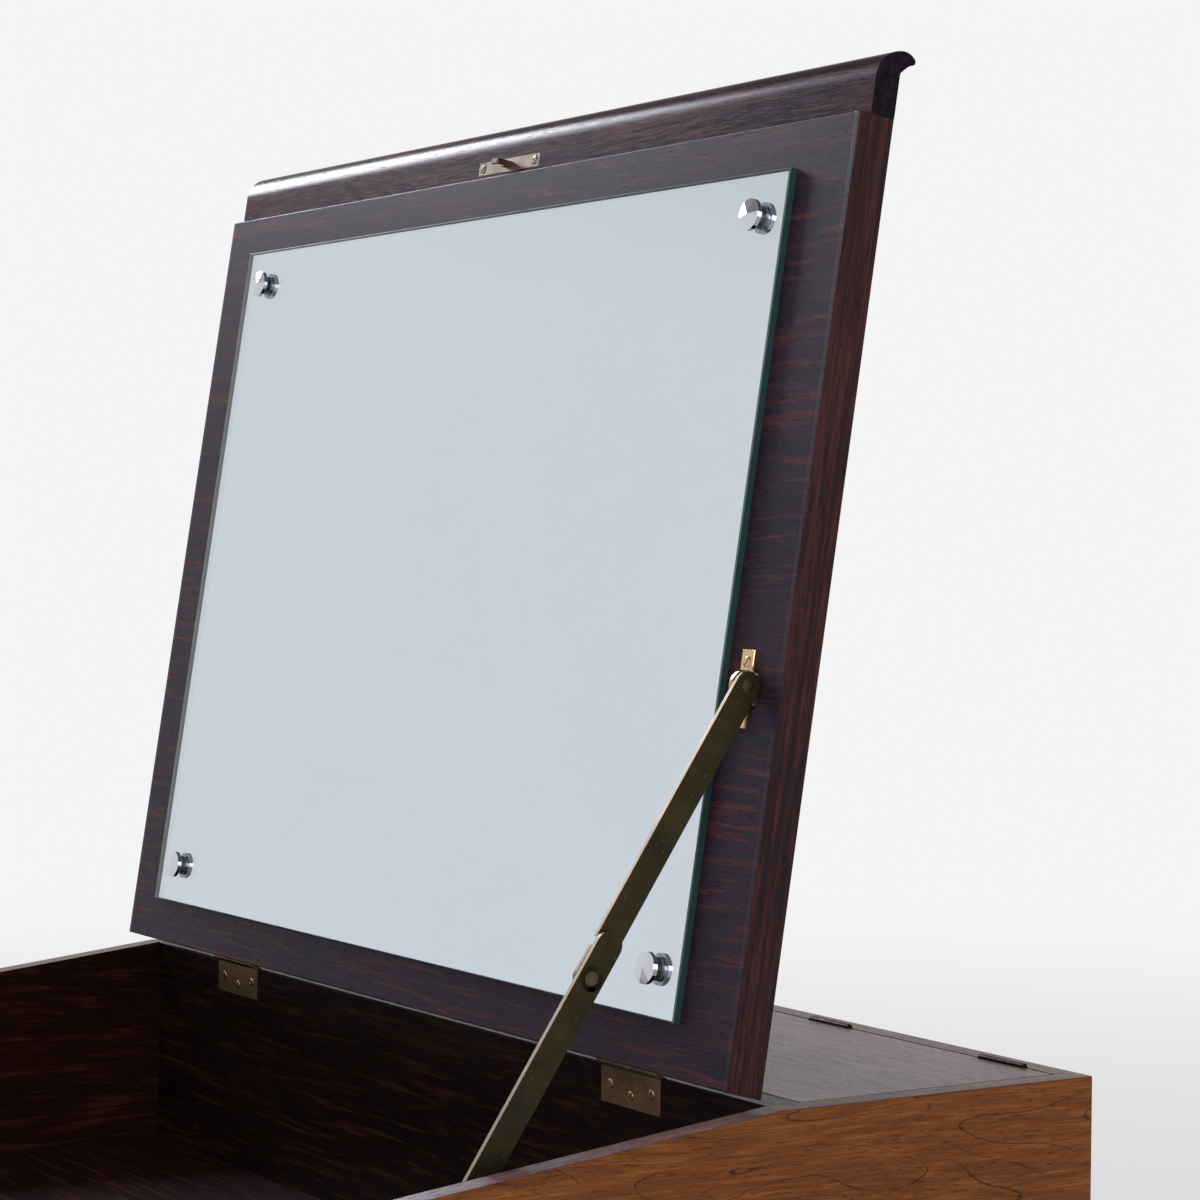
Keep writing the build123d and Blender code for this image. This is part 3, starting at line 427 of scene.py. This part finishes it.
hinge_brass = metal("brass_hinge", tint(0.27, 0.17, 0.085), tint(0.11, 0.07, 0.04), 0.34, 0.5)
bright_brass = metal("brass_bright", tint(0.66, 0.47, 0.26), tint(0.36, 0.24, 0.13), 0.2, 0.34)
striker_brass = metal("brass_striker", tint(0.17, 0.12, 0.085), tint(0.07, 0.05, 0.038), 0.32, 0.42)
rivet_brass = metal("brass_rivets", tint(0.17, 0.130, 0.075), tint(0.090, 0.068, 0.038), 0.38, 0.48)
barrel_brass = metal("brass_dark_barrels", tint(0.045, 0.036, 0.030), tint(0.02, 0.017, 0.015),
                     0.3, 0.5)
chrome = metal("chrome", tint(0.62, 0.62, 0.70), tint(0.54, 0.54, 0.61), 0.03, 0.06, 0.05)
steel = metal("steel", tint(0.55, 0.56, 0.58), tint(0.36, 0.36, 0.37), 0.25, 0.4)
print("metals ready")


# %% Brass of the stay, tarnished and with a painted dark reflection on its faces, bright on its edges
def stay_metal():
    """Sideways faces: tarnished olive, painted dark reflection, spots; elsewhere worn metal."""
    brass = Finish("brass_stay", Specular_IOR_Level=0.1)
    face = abs(looking(brass, along_x)) > 0.9
    clouds = between(brass, mottle(brass, place(brass, (30, 30, 30)), 4.0, 0.6), 0.34, 0.68)
    spots = between(brass, mottle(brass, place(brass, (420, 420, 420)), 2.0), 0.68, 0.74)
    scratches = mottle(brass, place(brass, (300, 2200, 2200)), 2.0)
    # The faces' dark olive is partly tarnished brass and partly a painted dark reflection.
    tarnish_and_dark_reflection = blend(brass, clouds, tint(0.046, 0.034, 0.016), tint(0.028, 0.021, 0.011))
    tarnish_and_dark_reflection = blend(brass, spots * 0.5, tarnish_and_dark_reflection, tint(0.16, 0.13, 0.08))
    brass.set("Base Color", blend(brass, face, tint(0.20, 0.152, 0.108), tarnish_and_dark_reflection))
    brass.set("Metallic", 1 - face * 0.55)
    brass.set("Roughness", 0.46 - face * 0.10 + clouds * 0.08)
    brass.set("Normal", bumped(brass, scratches, 0.25, 0.00002))
    return brass.material


stay_brass = stay_metal()
print("stay brass ready")


# %% Plate glass with a green edge, and its silver
def plate_glass():
    """Clear on both faces, bottle green on the ground edges."""
    glass = Finish("plate_glass", Transmission_Weight=1.0, IOR=1.5, Roughness=0.0,
                   Base_Color=tint(0.99, 1.0, 1.0))
    edge = 1 - (abs(looking(glass, lid_normal)) > 0.97)
    cloudy = mottle(glass, place(glass, (160, 160, 160)), 3.0)
    green = blend(glass, cloudy, tint(0.016, 0.048, 0.050), tint(0.030, 0.078, 0.080))
    inputs = {"Base Color": green, "Roughness": 0.34 + cloudy * 0.1}
    ground = glass.node("ShaderNodeBsdfPrincipled", {}, inputs)
    mix = glass.node("ShaderNodeMixShader", {}, {0: edge, 2: ground})
    glass.tree.links.new(glass.shader.outputs[0], mix.socket.node.inputs[1])
    glass.tree.links.new(mix.socket, glass.tree.nodes["Material Output"].inputs[0])
    return glass.material


def silvering():
    """Silver with a very faint haze."""
    silver = Finish("silvering", Metallic=1.0)
    haze = mottle(silver, place(silver, (9, 9, 9)), 3.0)
    silver.set("Base Color", blend(silver, haze, tint(0.625, 0.685, 0.755), tint(0.64, 0.70, 0.77)))
    silver.set("Roughness", 0.012 + haze * 0.01)
    return silver.material


clear_glass = plate_glass()
silver = silvering()
print("mirror ready")


# %% Beech rails and nylon
def plain_wood():
    """Beech: pale, with short darker flecks along the grain."""
    wood = Finish("beech_rails", Roughness=0.55)
    grain = mottle(wood, place(wood, (6, 160, 160)), 4.0, 0.6)
    flecks = between(wood, mottle(wood, place(wood, (60, 900, 900)), 1.0), 0.58, 0.66)
    body = blend(wood, grain, tint(0.42, 0.27, 0.15), tint(0.56, 0.39, 0.24))
    wood.set("Base Color", blend(wood, flecks * 0.5, body, tint(0.25, 0.14, 0.07)))
    wood.set("Normal", bumped(wood, grain, 0.3, 0.0001))
    return wood.material


def moulded_nylon():
    """Off-white nylon with a faint mould texture."""
    nylon = Finish("moulded_nylon")
    grain = mottle(nylon, place(nylon, (900, 900, 900)), 2.0)
    nylon.set("Base Color", blend(nylon, grain, tint(0.62, 0.60, 0.55), tint(0.70, 0.68, 0.62)))
    nylon.set("Roughness", 0.42 + grain * 0.12)
    nylon.set("Normal", bumped(nylon, grain, 0.2, 0.00005))
    return nylon.material


beech = plain_wood()
nylon = moulded_nylon()
print("beech and nylon ready")

# %% [markdown]
# ## Modelling by hand
#
# The small metal pieces sit close to the eye, so they are modelled rather than taken from the
# solids: a primitive is added at its size, shaped in edit mode, and softened with a bevel. A few
# short functions hold the moves that every piece needs. Everything is deselected first, because an
# edit works on all that is selected, and the loaded solids start out selected.


# %% The workbench
def clear():
    if bpy.context.object and bpy.context.object.mode == "EDIT":
        bpy.ops.object.mode_set(mode="OBJECT")
    bpy.ops.object.select_all(action="DESELECT")


def hold(piece):
    """Make one piece the only one selected."""
    clear()
    bpy.context.view_layer.objects.active = piece
    piece.select_set(True)


def edit(piece):
    hold(piece)
    bpy.ops.object.mode_set(mode="EDIT")
    bpy.ops.mesh.select_all(action="SELECT")


def pick(piece, test):
    """Select the faces whose middle and normal pass the test; works in edit mode."""
    bpy.ops.mesh.select_mode(type="FACE")
    bpy.ops.mesh.select_all(action="DESELECT")
    bpy.ops.object.mode_set(mode="OBJECT")
    for face in piece.data.polygons:
        face.select = bool(test(face.center, face.normal))
    bpy.ops.object.mode_set(mode="EDIT")


def grow(rise, scale=1.0):
    """Extrude the picked face along Z, then make it wider or narrower; both in one step."""
    bpy.ops.mesh.extrude_region_move(TRANSFORM_OT_translate={"value": (0, 0, rise)})
    bpy.ops.transform.resize(value=(scale, scale, 1))


def turned_blank(radius, z0, z1, sides):
    """A short cylinder along Z, open for editing."""
    clear()
    bpy.ops.mesh.primitive_cylinder_add(vertices=sides, radius=radius, depth=z1 - z0,
                                        location=(0, 0, (z0 + z1) / 2), end_fill_type="NGON")
    blank = bpy.context.object
    bpy.ops.object.transform_apply(location=True)
    edit(blank)
    return blank


print("workbench ready")


# %% Softening, copying and setting down
def soften(piece, width, angle=35.0, crease=30.0):
    """Bevel the sharp edges, then shade smoothly except across creases that stay sharp."""
    hold(piece)
    if width:
        bevel = piece.modifiers.new("softened edges", "BEVEL")
        bevel.width = width
        bevel.segments = 2
        bevel.limit_method = "ANGLE"
        bevel.angle_limit = radians(angle)
        bpy.ops.object.modifier_apply(modifier=bevel.name)
    bpy.ops.object.shade_smooth_by_angle(angle=radians(crease))
    flats = piece.modifiers.new("flats stay flat", "WEIGHTED_NORMAL")
    flats.keep_sharp = True
    bpy.ops.object.modifier_apply(modifier=flats.name)


def copies_at(piece, places):
    """One joined mesh of the piece at every place; the piece itself is used up."""
    made = []
    for place_at in places:
        twin = bpy.data.objects.new(piece.name, piece.data.copy())
        bpy.context.collection.objects.link(twin)
        twin.matrix_world = place_at
        made.append(twin)
    bpy.data.objects.remove(piece)
    hold(made[0])
    for twin in made:
        twin.select_set(True)
    bpy.ops.object.join()
    return made[0]


def set_down(piece, name, body, slot, finish, *replaced):
    """Put the piece's place in its mesh, name it, finish it and let it ride."""
    hold(piece)
    bpy.ops.object.transform_apply(location=True, rotation=True, scale=True)
    piece.name = name
    piece.data.materials.clear()
    piece.data.materials.append(finish)
    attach(piece, body)
    if replaced:
        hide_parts(*replaced)
    print(name, "has", len(piece.data.polygons), "faces")


def merged_copy(name):
    """A solid's mesh as a new piece, its loose triangles merged and its flat faces made whole."""
    piece = bpy.data.objects.new(name + "_copy", nodes[name].data.copy())
    bpy.context.collection.objects.link(piece)
    edit(piece)
    bpy.ops.mesh.remove_doubles(threshold=0.002 * mm)
    bpy.ops.mesh.dissolve_limited(angle_limit=radians(1.0))
    bpy.ops.object.mode_set(mode="OBJECT")
    bpy.ops.mesh.customdata_custom_splitnormals_clear()
    bpy.ops.object.shade_flat()
    return piece


print("softening ready")

# %% [markdown]
# ## Mirror caps
#
# Each corner of the glass is held by a chromed cap: a short neck, a rim with a groove round it,
# and a head ground to six flat facets. It is turned up from one disc by extruding its top again
# and again, and the facets are cut with bisect, just as a grinder would cut them. Each cap is
# screwed on by hand, so each one stops at its own angle.

# %% One cap, standing on the glass
cap_radius, neck_radius, groove_depth = 7.4 * mm, 5.6 * mm, 0.35 * mm
neck_from, neck_to = 0.6 * mm, 1.3 * mm
rim_low, groove_high, rim_high = 0.9 * mm, 0.35 * mm, 0.75 * mm
face_height, facet_rise, tip_radius = 3.3 * mm, 1.2 * mm, 0.5 * mm
facet_count = 6
cap = turned_blank(neck_radius, neck_from, neck_to, 96)
pick(cap, lambda centre, normal: normal.z > 0.9)
in_groove = 1 - groove_depth / cap_radius
for rise, scale in ((0, cap_radius / neck_radius), (rim_low, 1), (0, in_groove), (groove_high, 1),
                    (0, 1 / in_groove), (rim_high, 1), (facet_rise, 1)):
    grow(rise, scale)
for step in range(facet_count):
    turn = radians(60 * step + 30)
    out = Vector((cos(turn), sin(turn), 0))
    slope = (out * facet_rise + Vector((0, 0, cap_radius - tip_radius))).normalized()
    bpy.ops.mesh.select_all(action="SELECT")
    bpy.ops.mesh.bisect(plane_co=out * cap_radius + Vector((0, 0, face_height)), plane_no=slope,
                        threshold=0.001 * mm, use_fill=True, clear_outer=True)
bpy.ops.object.mode_set(mode="OBJECT")
soften(cap, 0.06 * mm, 8.0, 5.0)
print("one cap has", len(cap.data.polygons), "faces")

# %% Four caps on the glass
glass_sides, glass_ends = (-276.0 * mm, 270.0 * mm), (-412.5 * mm, -26.0 * mm)
cap_columns = glass_sides[0] + 25.3 * mm, glass_sides[1] - 23.0 * mm
cap_rows = glass_ends[0] + 20.6 * mm, glass_ends[1] - 21.9 * mm
spots = [(x, y) for x in cap_columns for y in cap_rows]
places = []
cap_stops = (5.0, 20.0, 8.0, 12.0)
for (x, y), stop in zip(spots, cap_stops):
    seat = Matrix.Translation((x, y, -lid_thick - glass_thick)) @ Matrix.Rotation(pi, 4, "X")
    places.append(lid_frame @ seat @ Matrix.Rotation(radians(stop), 4, "Z"))
set_down(copies_at(cap, places), "mirror_caps_chromed", "lid", "chrome", chrome, "mirror_caps")

# %% [markdown]
# ## The mirror's silver
#
# The silver is a skin on the back of the glass. It is cut from the glass's own solid with one
# bisect, so that it has the same outline. The cut's threshold is far below the skin's own
# thickness; with the usual one, both sides of the skin would count as lying on the cut. The skin
# then moves a little into the glass, so that its back and the glass's back don't share one plane.

# %% Silver behind the glass
skin = merged_copy("mirror_glass")
edit(skin)
skin_depth, skin_shift = 0.05 * mm, 0.4
cut_at = lid_frame @ Vector((0, 0, -lid_thick - skin_depth))
bpy.ops.mesh.bisect(plane_co=cut_at, plane_no=lid_normal, threshold=0.001 * mm, use_fill=True,
                    clear_outer=True)
bpy.ops.mesh.select_all(action="SELECT")
bpy.ops.transform.translate(value=lid_normal * skin_depth * skin_shift)
bpy.ops.object.mode_set(mode="OBJECT")
bpy.ops.object.shade_flat()
set_down(skin, "mirror_silver", "lid", "mirror", silver)

# %% [markdown]
# ## Screws
#
# The hinges, the lug and the striker are held by slotted brass screws with slightly domed heads.
# One screw is drawn out of a disc, upwards for the dome and downwards for the cone, shank and
# point. Its slot is cut with a boolean. The head is a little smaller than its seat, which leaves
# the dark ring that is seen round a real one, and the slots stop at random as a joiner leaves
# them.

# %% One slotted screw
head_radius, shank_radius = 2.5 * mm, 1.5 * mm
dome_steps = ((0.14, 0.86), (0.08, 0.7))
shank_steps = ((-1.1, shank_radius / head_radius), (-6.0, 1.0), (-2.8, 0.2))
slot_size = (8 * mm, 0.75 * mm, 1.1 * mm)
screw = turned_blank(head_radius, -0.2 * mm, 0.05 * mm, 40)
pick(screw, lambda centre, normal: normal.z > 0.9)
for rise, scale in dome_steps:
    grow(rise * mm, scale)
pick(screw, lambda centre, normal: normal.z < -0.9)
for rise, scale in shank_steps:
    grow(rise * mm, scale)
clear()
bpy.ops.mesh.primitive_cube_add(size=1.0, location=(0, 0, 0))
cutter = bpy.context.object
cutter.scale = slot_size
slot_cut = screw.modifiers.new("slot", "BOOLEAN")
slot_cut.object = cutter
slot_cut.operation = "DIFFERENCE"
hold(screw)
bpy.ops.object.modifier_apply(modifier=slot_cut.name)
bpy.data.objects.remove(cutter)
soften(screw, 0.06 * mm, 30.0)
print("one screw has", len(screw.data.polygons), "faces")


# %% Where the screws sit
def seat_on_leaf(x, drop, turn):
    """On a fixed hinge leaf, whose face looks to the front."""
    spot = hinge_line + Vector((x * mm, hinge_gap / 2, -axis_rise - drop * mm))
    upright = Matrix.Translation(spot) @ Matrix.Rotation(pi / 2, 4, "X")
    return upright @ Matrix.Rotation(radians(turn), 4, "Z")


def seat_on_lid(x, y, z, turn):
    """On the lid's inner side, at millimetres of its flat frame."""
    spot = Matrix.Translation((x * mm, y * mm, z * mm)) @ Matrix.Rotation(pi, 4, "X")
    return lid_frame @ spot @ Matrix.Rotation(radians(turn), 4, "Z")


hinge_middle = 205.5
leaf_spots = ((-17.5, 9.0), (0.0, 12.4), (17.5, 9.0))
leaf_turns = iter((62, -35, 12, -12, 48, 76))
leaf_seats = [seat_on_leaf(side * hinge_middle + x, drop, next(leaf_turns))
              for side in (-1, 1) for x, drop in leaf_spots]
lug_x, lug_y, lug_face = 286.0, -176.5, -21.0
lug_seats = [seat_on_lid(lug_x, lug_y + offset, lug_face, turn)
             for offset, turn in ((-12, 60), (12, 55))]
striker_x, striker_y, striker_face = 26.0, -442.1, -13.0
striker_seats = [seat_on_lid(side * striker_x, striker_y, striker_face, turn)
                 for side, turn in ((-1, 30), (1, -20))]
print(len(leaf_seats) + len(lug_seats) + len(striker_seats), "seats")

# %% The screws in place
spare = [bpy.data.objects.new("screw", screw.data.copy()) for _ in range(2)]
for each in spare:
    bpy.context.collection.objects.link(each)
set_down(copies_at(screw, leaf_seats), "lid_hinge_case_screws_slotted", "case", "brass",
         bright_brass, "lid_hinge_case_screws")
set_down(copies_at(spare[0], lug_seats), "stay_lug_screws_slotted", "lid", "brass",
         bright_brass, "stay_lug_screws")
set_down(copies_at(spare[1], striker_seats), "lock_striker_screws_slotted", "lid", "brass",
         striker_brass, "lock_striker_screws")

# %% [markdown]
# ## Rivets
#
# The stay turns on rivets whose heads were hammered to a low dome. A shank is drawn first, and
# each end is widened in place and then drawn up in narrower and narrower steps.


# %% Domed rivets
rivet_shank = 1.8 * mm
head_steps = ((0.14, 0.97), (0.13, 0.88), (0.08, 0.72), (0.04, 0.5))


def domed_rivet(length, radius):
    """Shank from Z = 0 up to its length, with a dome outside each end."""
    made = turned_blank(rivet_shank, 0, length, 40)
    for side in (1, -1):
        pick(made, lambda centre, normal: normal.z * side > 0.9)
        grow(0, radius / rivet_shank)
        for rise, scale in head_steps:
            grow(side * rise * mm, scale)
    bpy.ops.object.mode_set(mode="OBJECT")
    soften(made, 0.05 * mm, 40.0)
    return made


def across(x, pivot):
    """A rivet's place: its shank runs along +X from x, in millimetres, through a pivot."""
    return Matrix.Translation((x * mm, pivot.y, pivot.z)) @ Matrix.Rotation(pi / 2, 4, "Y")


ear_x, gap, bar_thick, proud = 292.1, 0.35, 2.4, 0.15
lug_head, elbow_head = 2.4 * mm, 3.2 * mm
rivet_length = 2 * bar_thick + gap + proud
lower_x = ear_x + 2 * (bar_thick + gap)
lug_rivet = copies_at(domed_rivet(rivet_length * mm, lug_head), [across(ear_x, lug_pivot)])
set_down(lug_rivet, "stay_lug_rivet_domed", "lid", "brass", rivet_brass, "stay_lug_rivet")
elbow_place = across(lower_x + bar_thick - rivet_length, elbow_pivot)
elbow_rivet = copies_at(domed_rivet(rivet_length * mm, elbow_head), [elbow_place])
set_down(elbow_rivet, "stay_elbow_rivet_domed", "stay_lower", "brass", rivet_brass,
         "stay_elbow_rivet")

# %% [markdown]
# ## Edges that catch the light
#
# No real edge is perfectly sharp, and the thin bright line along it is what makes a piece look
# solid. The boards and the larger metal pieces have the right form already, so each is a merged
# copy of its solid with a narrow bevel, shaded so that its flats stay flat and its rounds run
# smoothly. Where a board's edges are rounded in the solid, it takes no bevel.

# %% Softened copies of the solids
metal_pieces = [
    ("stay_upper_arm", "stay_upper", stay_brass, 0.18),
    ("stay_lower_arm", "stay_lower", stay_brass, 0.18),
    ("stay_lug", "lid", bright_brass, 0.35), ("lock_striker", "lid", striker_brass, 0.30),
    ("lid_hinge_left_fixed_leaf", "case", hinge_brass, 0.15),
    ("lid_hinge_right_fixed_leaf", "case", hinge_brass, 0.15),
    ("keyhole_plate", "case", bright_brass, 0.25),
]
boards = [
    ("lid_board", "lid", lid_veneer, 0.15), ("lid_lip", "lid", lip_wood, 0.0),
    ("lid_edging_right", "lid", edging_wood, 0.25), ("lid_edging_left", "lid", edging_wood, 0.25),
    ("right_side", "case", side_veneer, 0.0), ("left_side", "case", side_veneer, 0.0),
    ("front_panel", "case", long_veneer, 0.0), ("back_panel", "case", long_veneer, 0.0),
    ("rear_flap", "flap", flap_veneer, 0.0), ("partition", "case", lining, 0.0),
    ("floor_panel", "case", floor_veneer, 0.0),
]
for slot, group in (("brass", metal_pieces), ("rosewood_veneer", boards)):
    for name, body, finish, width in group:
        piece = merged_copy(name)
        soften(piece, width * mm)
        set_down(piece, name + "_softened", body, slot, finish, name)

# %% [markdown]
# ## Finishes on the solids
#
# The legs, rails, hinge barrels and lock case keep their solids, which only take a finish. A solid
# that a softened or modelled piece replaces gets one as well, so that every solid has its own. A
# list of name beginnings is enough, read from the top, and a solid that no line names stops the
# script.

# %% Hand out the finishes
finishes = [
    ("lid_board", lid_veneer), ("lid_lip", lip_wood), ("lid_edging", edging_wood),
    ("right_side", side_veneer), ("left_side", side_veneer), ("back_panel", long_veneer),
    ("front_panel", long_veneer), ("rear_flap", flap_veneer), ("partition", lining),
    ("floor_panel", floor_veneer),
    ("flap_rests", beech), ("front_rail", beech), ("rear_rail", beech),
    ("leg_glides", nylon), ("leg_studs", steel), ("leg_inserts", steel), ("leg_", leg_wood),
    ("lid_hinge_lid_screws", bright_brass), ("lid_hinge_case_screws", bright_brass),
    ("lid_hinge", hinge_brass), ("flap_hinge", barrel_brass), ("mirror_glass", clear_glass),
    ("mirror_bushes", nylon), ("mirror_screws", steel), ("mirror_caps", chrome),
    ("stay_", stay_brass), ("lock_bolt", steel), ("lock_case_screws", steel),
    ("lock_", striker_brass), ("keyhole_plate", bright_brass),
]
for name, solid in nodes.items():
    finish = next((f for start, f in finishes if name.startswith(start)), None)
    if finish is None:
        raise ValueError("no finish for " + name)
    solid.data.materials.clear()
    solid.data.materials.append(finish)
print("finishes on", len(nodes), "solids")

# %% [markdown]
# ## Studio
#
# The background is a pale seamless one. The world gives an even light and is nearly white to the
# camera and to reflections, but darker overhead, as a room's ceiling is, so that polished wood
# doesn't mirror a white sky. The floor runs far out and turns into the same tone as the world, so
# that no horizon shows. Two soft lamps do the rest: a small, strong one high on the left, which
# draws the light along the lid's lip and stays out of the mirror, and a larger, weaker one on the
# right for the outer side.


# %% World
pale, ceiling = tint(0.905, 0.905, 0.905), tint(0.16, 0.16, 0.17)
ceiling_from, ceiling_whole = 0.225, 0.50
world_light = 0.45


def studio_world():
    """A pale surround that lights softly and darkens overhead."""
    world = bpy.data.worlds.new("studio")
    bpy.context.scene.world = world
    world.use_nodes = True
    tree = world.node_tree
    seen = tree.nodes["Background"]
    towards = tree.nodes.new("ShaderNodeTexCoord")
    height = tree.nodes.new("ShaderNodeSeparateXYZ")
    tree.links.new(towards.outputs["Generated"], height.inputs[0])
    up = tree.nodes.new("ShaderNodeMapRange")
    up.interpolation_type = "SMOOTHSTEP"
    up.inputs["From Min"].default_value = ceiling_from
    up.inputs["From Max"].default_value = ceiling_whole
    tree.links.new(height.outputs["Z"], up.inputs["Value"])
    tone = tree.nodes.new("ShaderNodeMix")
    tone.data_type = "RGBA"
    tone.inputs[6].default_value = pale
    tone.inputs[7].default_value = ceiling
    tree.links.new(up.outputs[0], tone.inputs[0])
    tree.links.new(tone.outputs[2], seen.inputs["Color"])
    lighting = tree.nodes.new("ShaderNodeBackground")
    lighting.inputs["Color"].default_value = tint(0.95, 0.97, 1.0)
    lighting.inputs["Strength"].default_value = world_light
    path = tree.nodes.new("ShaderNodeLightPath")
    direct = path.outputs["Is Camera Ray"]
    for kind in ("Is Glossy Ray", "Is Transmission Ray"):
        either = tree.nodes.new("ShaderNodeMath")
        either.operation = "MAXIMUM"
        tree.links.new(direct, either.inputs[0])
        tree.links.new(path.outputs[kind], either.inputs[1])
        direct = either.outputs[0]
    mix = tree.nodes.new("ShaderNodeMixShader")
    tree.links.new(direct, mix.inputs[0])
    tree.links.new(lighting.outputs[0], mix.inputs[1])
    tree.links.new(seen.outputs[0], mix.inputs[2])
    tree.links.new(mix.outputs[0], tree.nodes["World Output"].inputs[0])


studio_world()
print("world ready")


# %% Floor that fades into the surround
def floor_finish():
    """Matt pale floor near the table, then a glow that rises to the surround's own tone."""
    floor = Finish("studio_floor", Roughness=0.8, Specular_IOR_Level=0.1)
    where = floor.node("ShaderNodeTexCoord", output="Object")
    far = floor.node("ShaderNodeVectorMath", {"operation": "LENGTH"}, {0: where}, "Value")
    patchy = mottle(floor, place(floor, (3, 3, 3)), 2.0)
    floor.set("Base Color", blend(floor, patchy, tint(0.78, 0.78, 0.78), tint(0.80, 0.80, 0.80)))
    tone = blend(floor, between(floor, far, 2.4, 7.0), tint(0.70, 0.70, 0.70), pale)
    glow = floor.node("ShaderNodeEmission", {}, {"Color": tone})
    mix = floor.node("ShaderNodeMixShader", {}, {0: between(floor, far, 1.2, 2.6), 2: glow})
    floor.tree.links.new(floor.shader.outputs[0], mix.socket.node.inputs[1])
    floor.tree.links.new(mix.socket, floor.tree.nodes["Material Output"].inputs[0])
    return floor.material


clear()
floor_radius, floor_drop = 30.0, 0.0005
bpy.ops.mesh.primitive_circle_add(vertices=128, radius=floor_radius, fill_type="NGON",
                                  location=(0, 0, -floor_drop))
floor = bpy.context.object
floor.name = "studio_floor"
floor.data.materials.append(floor_finish())
print("floor ready")


# %% Lamps
def lamp(name, place_at, look_at, width, height, power, colour):
    """A soft rectangular lamp turned towards a point."""
    bpy.ops.object.light_add(type="AREA", location=place_at)
    made = bpy.context.object
    made.name = name
    made.data.shape = "RECTANGLE"
    made.data.size = width
    made.data.size_y = height
    made.data.energy = power
    made.data.color = colour
    aim = Vector(look_at) - Vector(place_at)
    facing = aim.to_track_quat("-Z", "Y").to_matrix().to_4x4()
    made.matrix_world = Matrix.Translation(place_at) @ facing


lamp("window lamp", (-2.36, -0.19, 2.25), (0, 0.1, 0.95), 0.8, 0.8, 62, (0.90, 0.93, 1.0))
lamp("side lamp", (2.2, -1.7, 1.7), (0.2, 0.0, 0.7), 1.4, 1.4, 26, (1.0, 0.98, 0.95))
print("lamps ready")
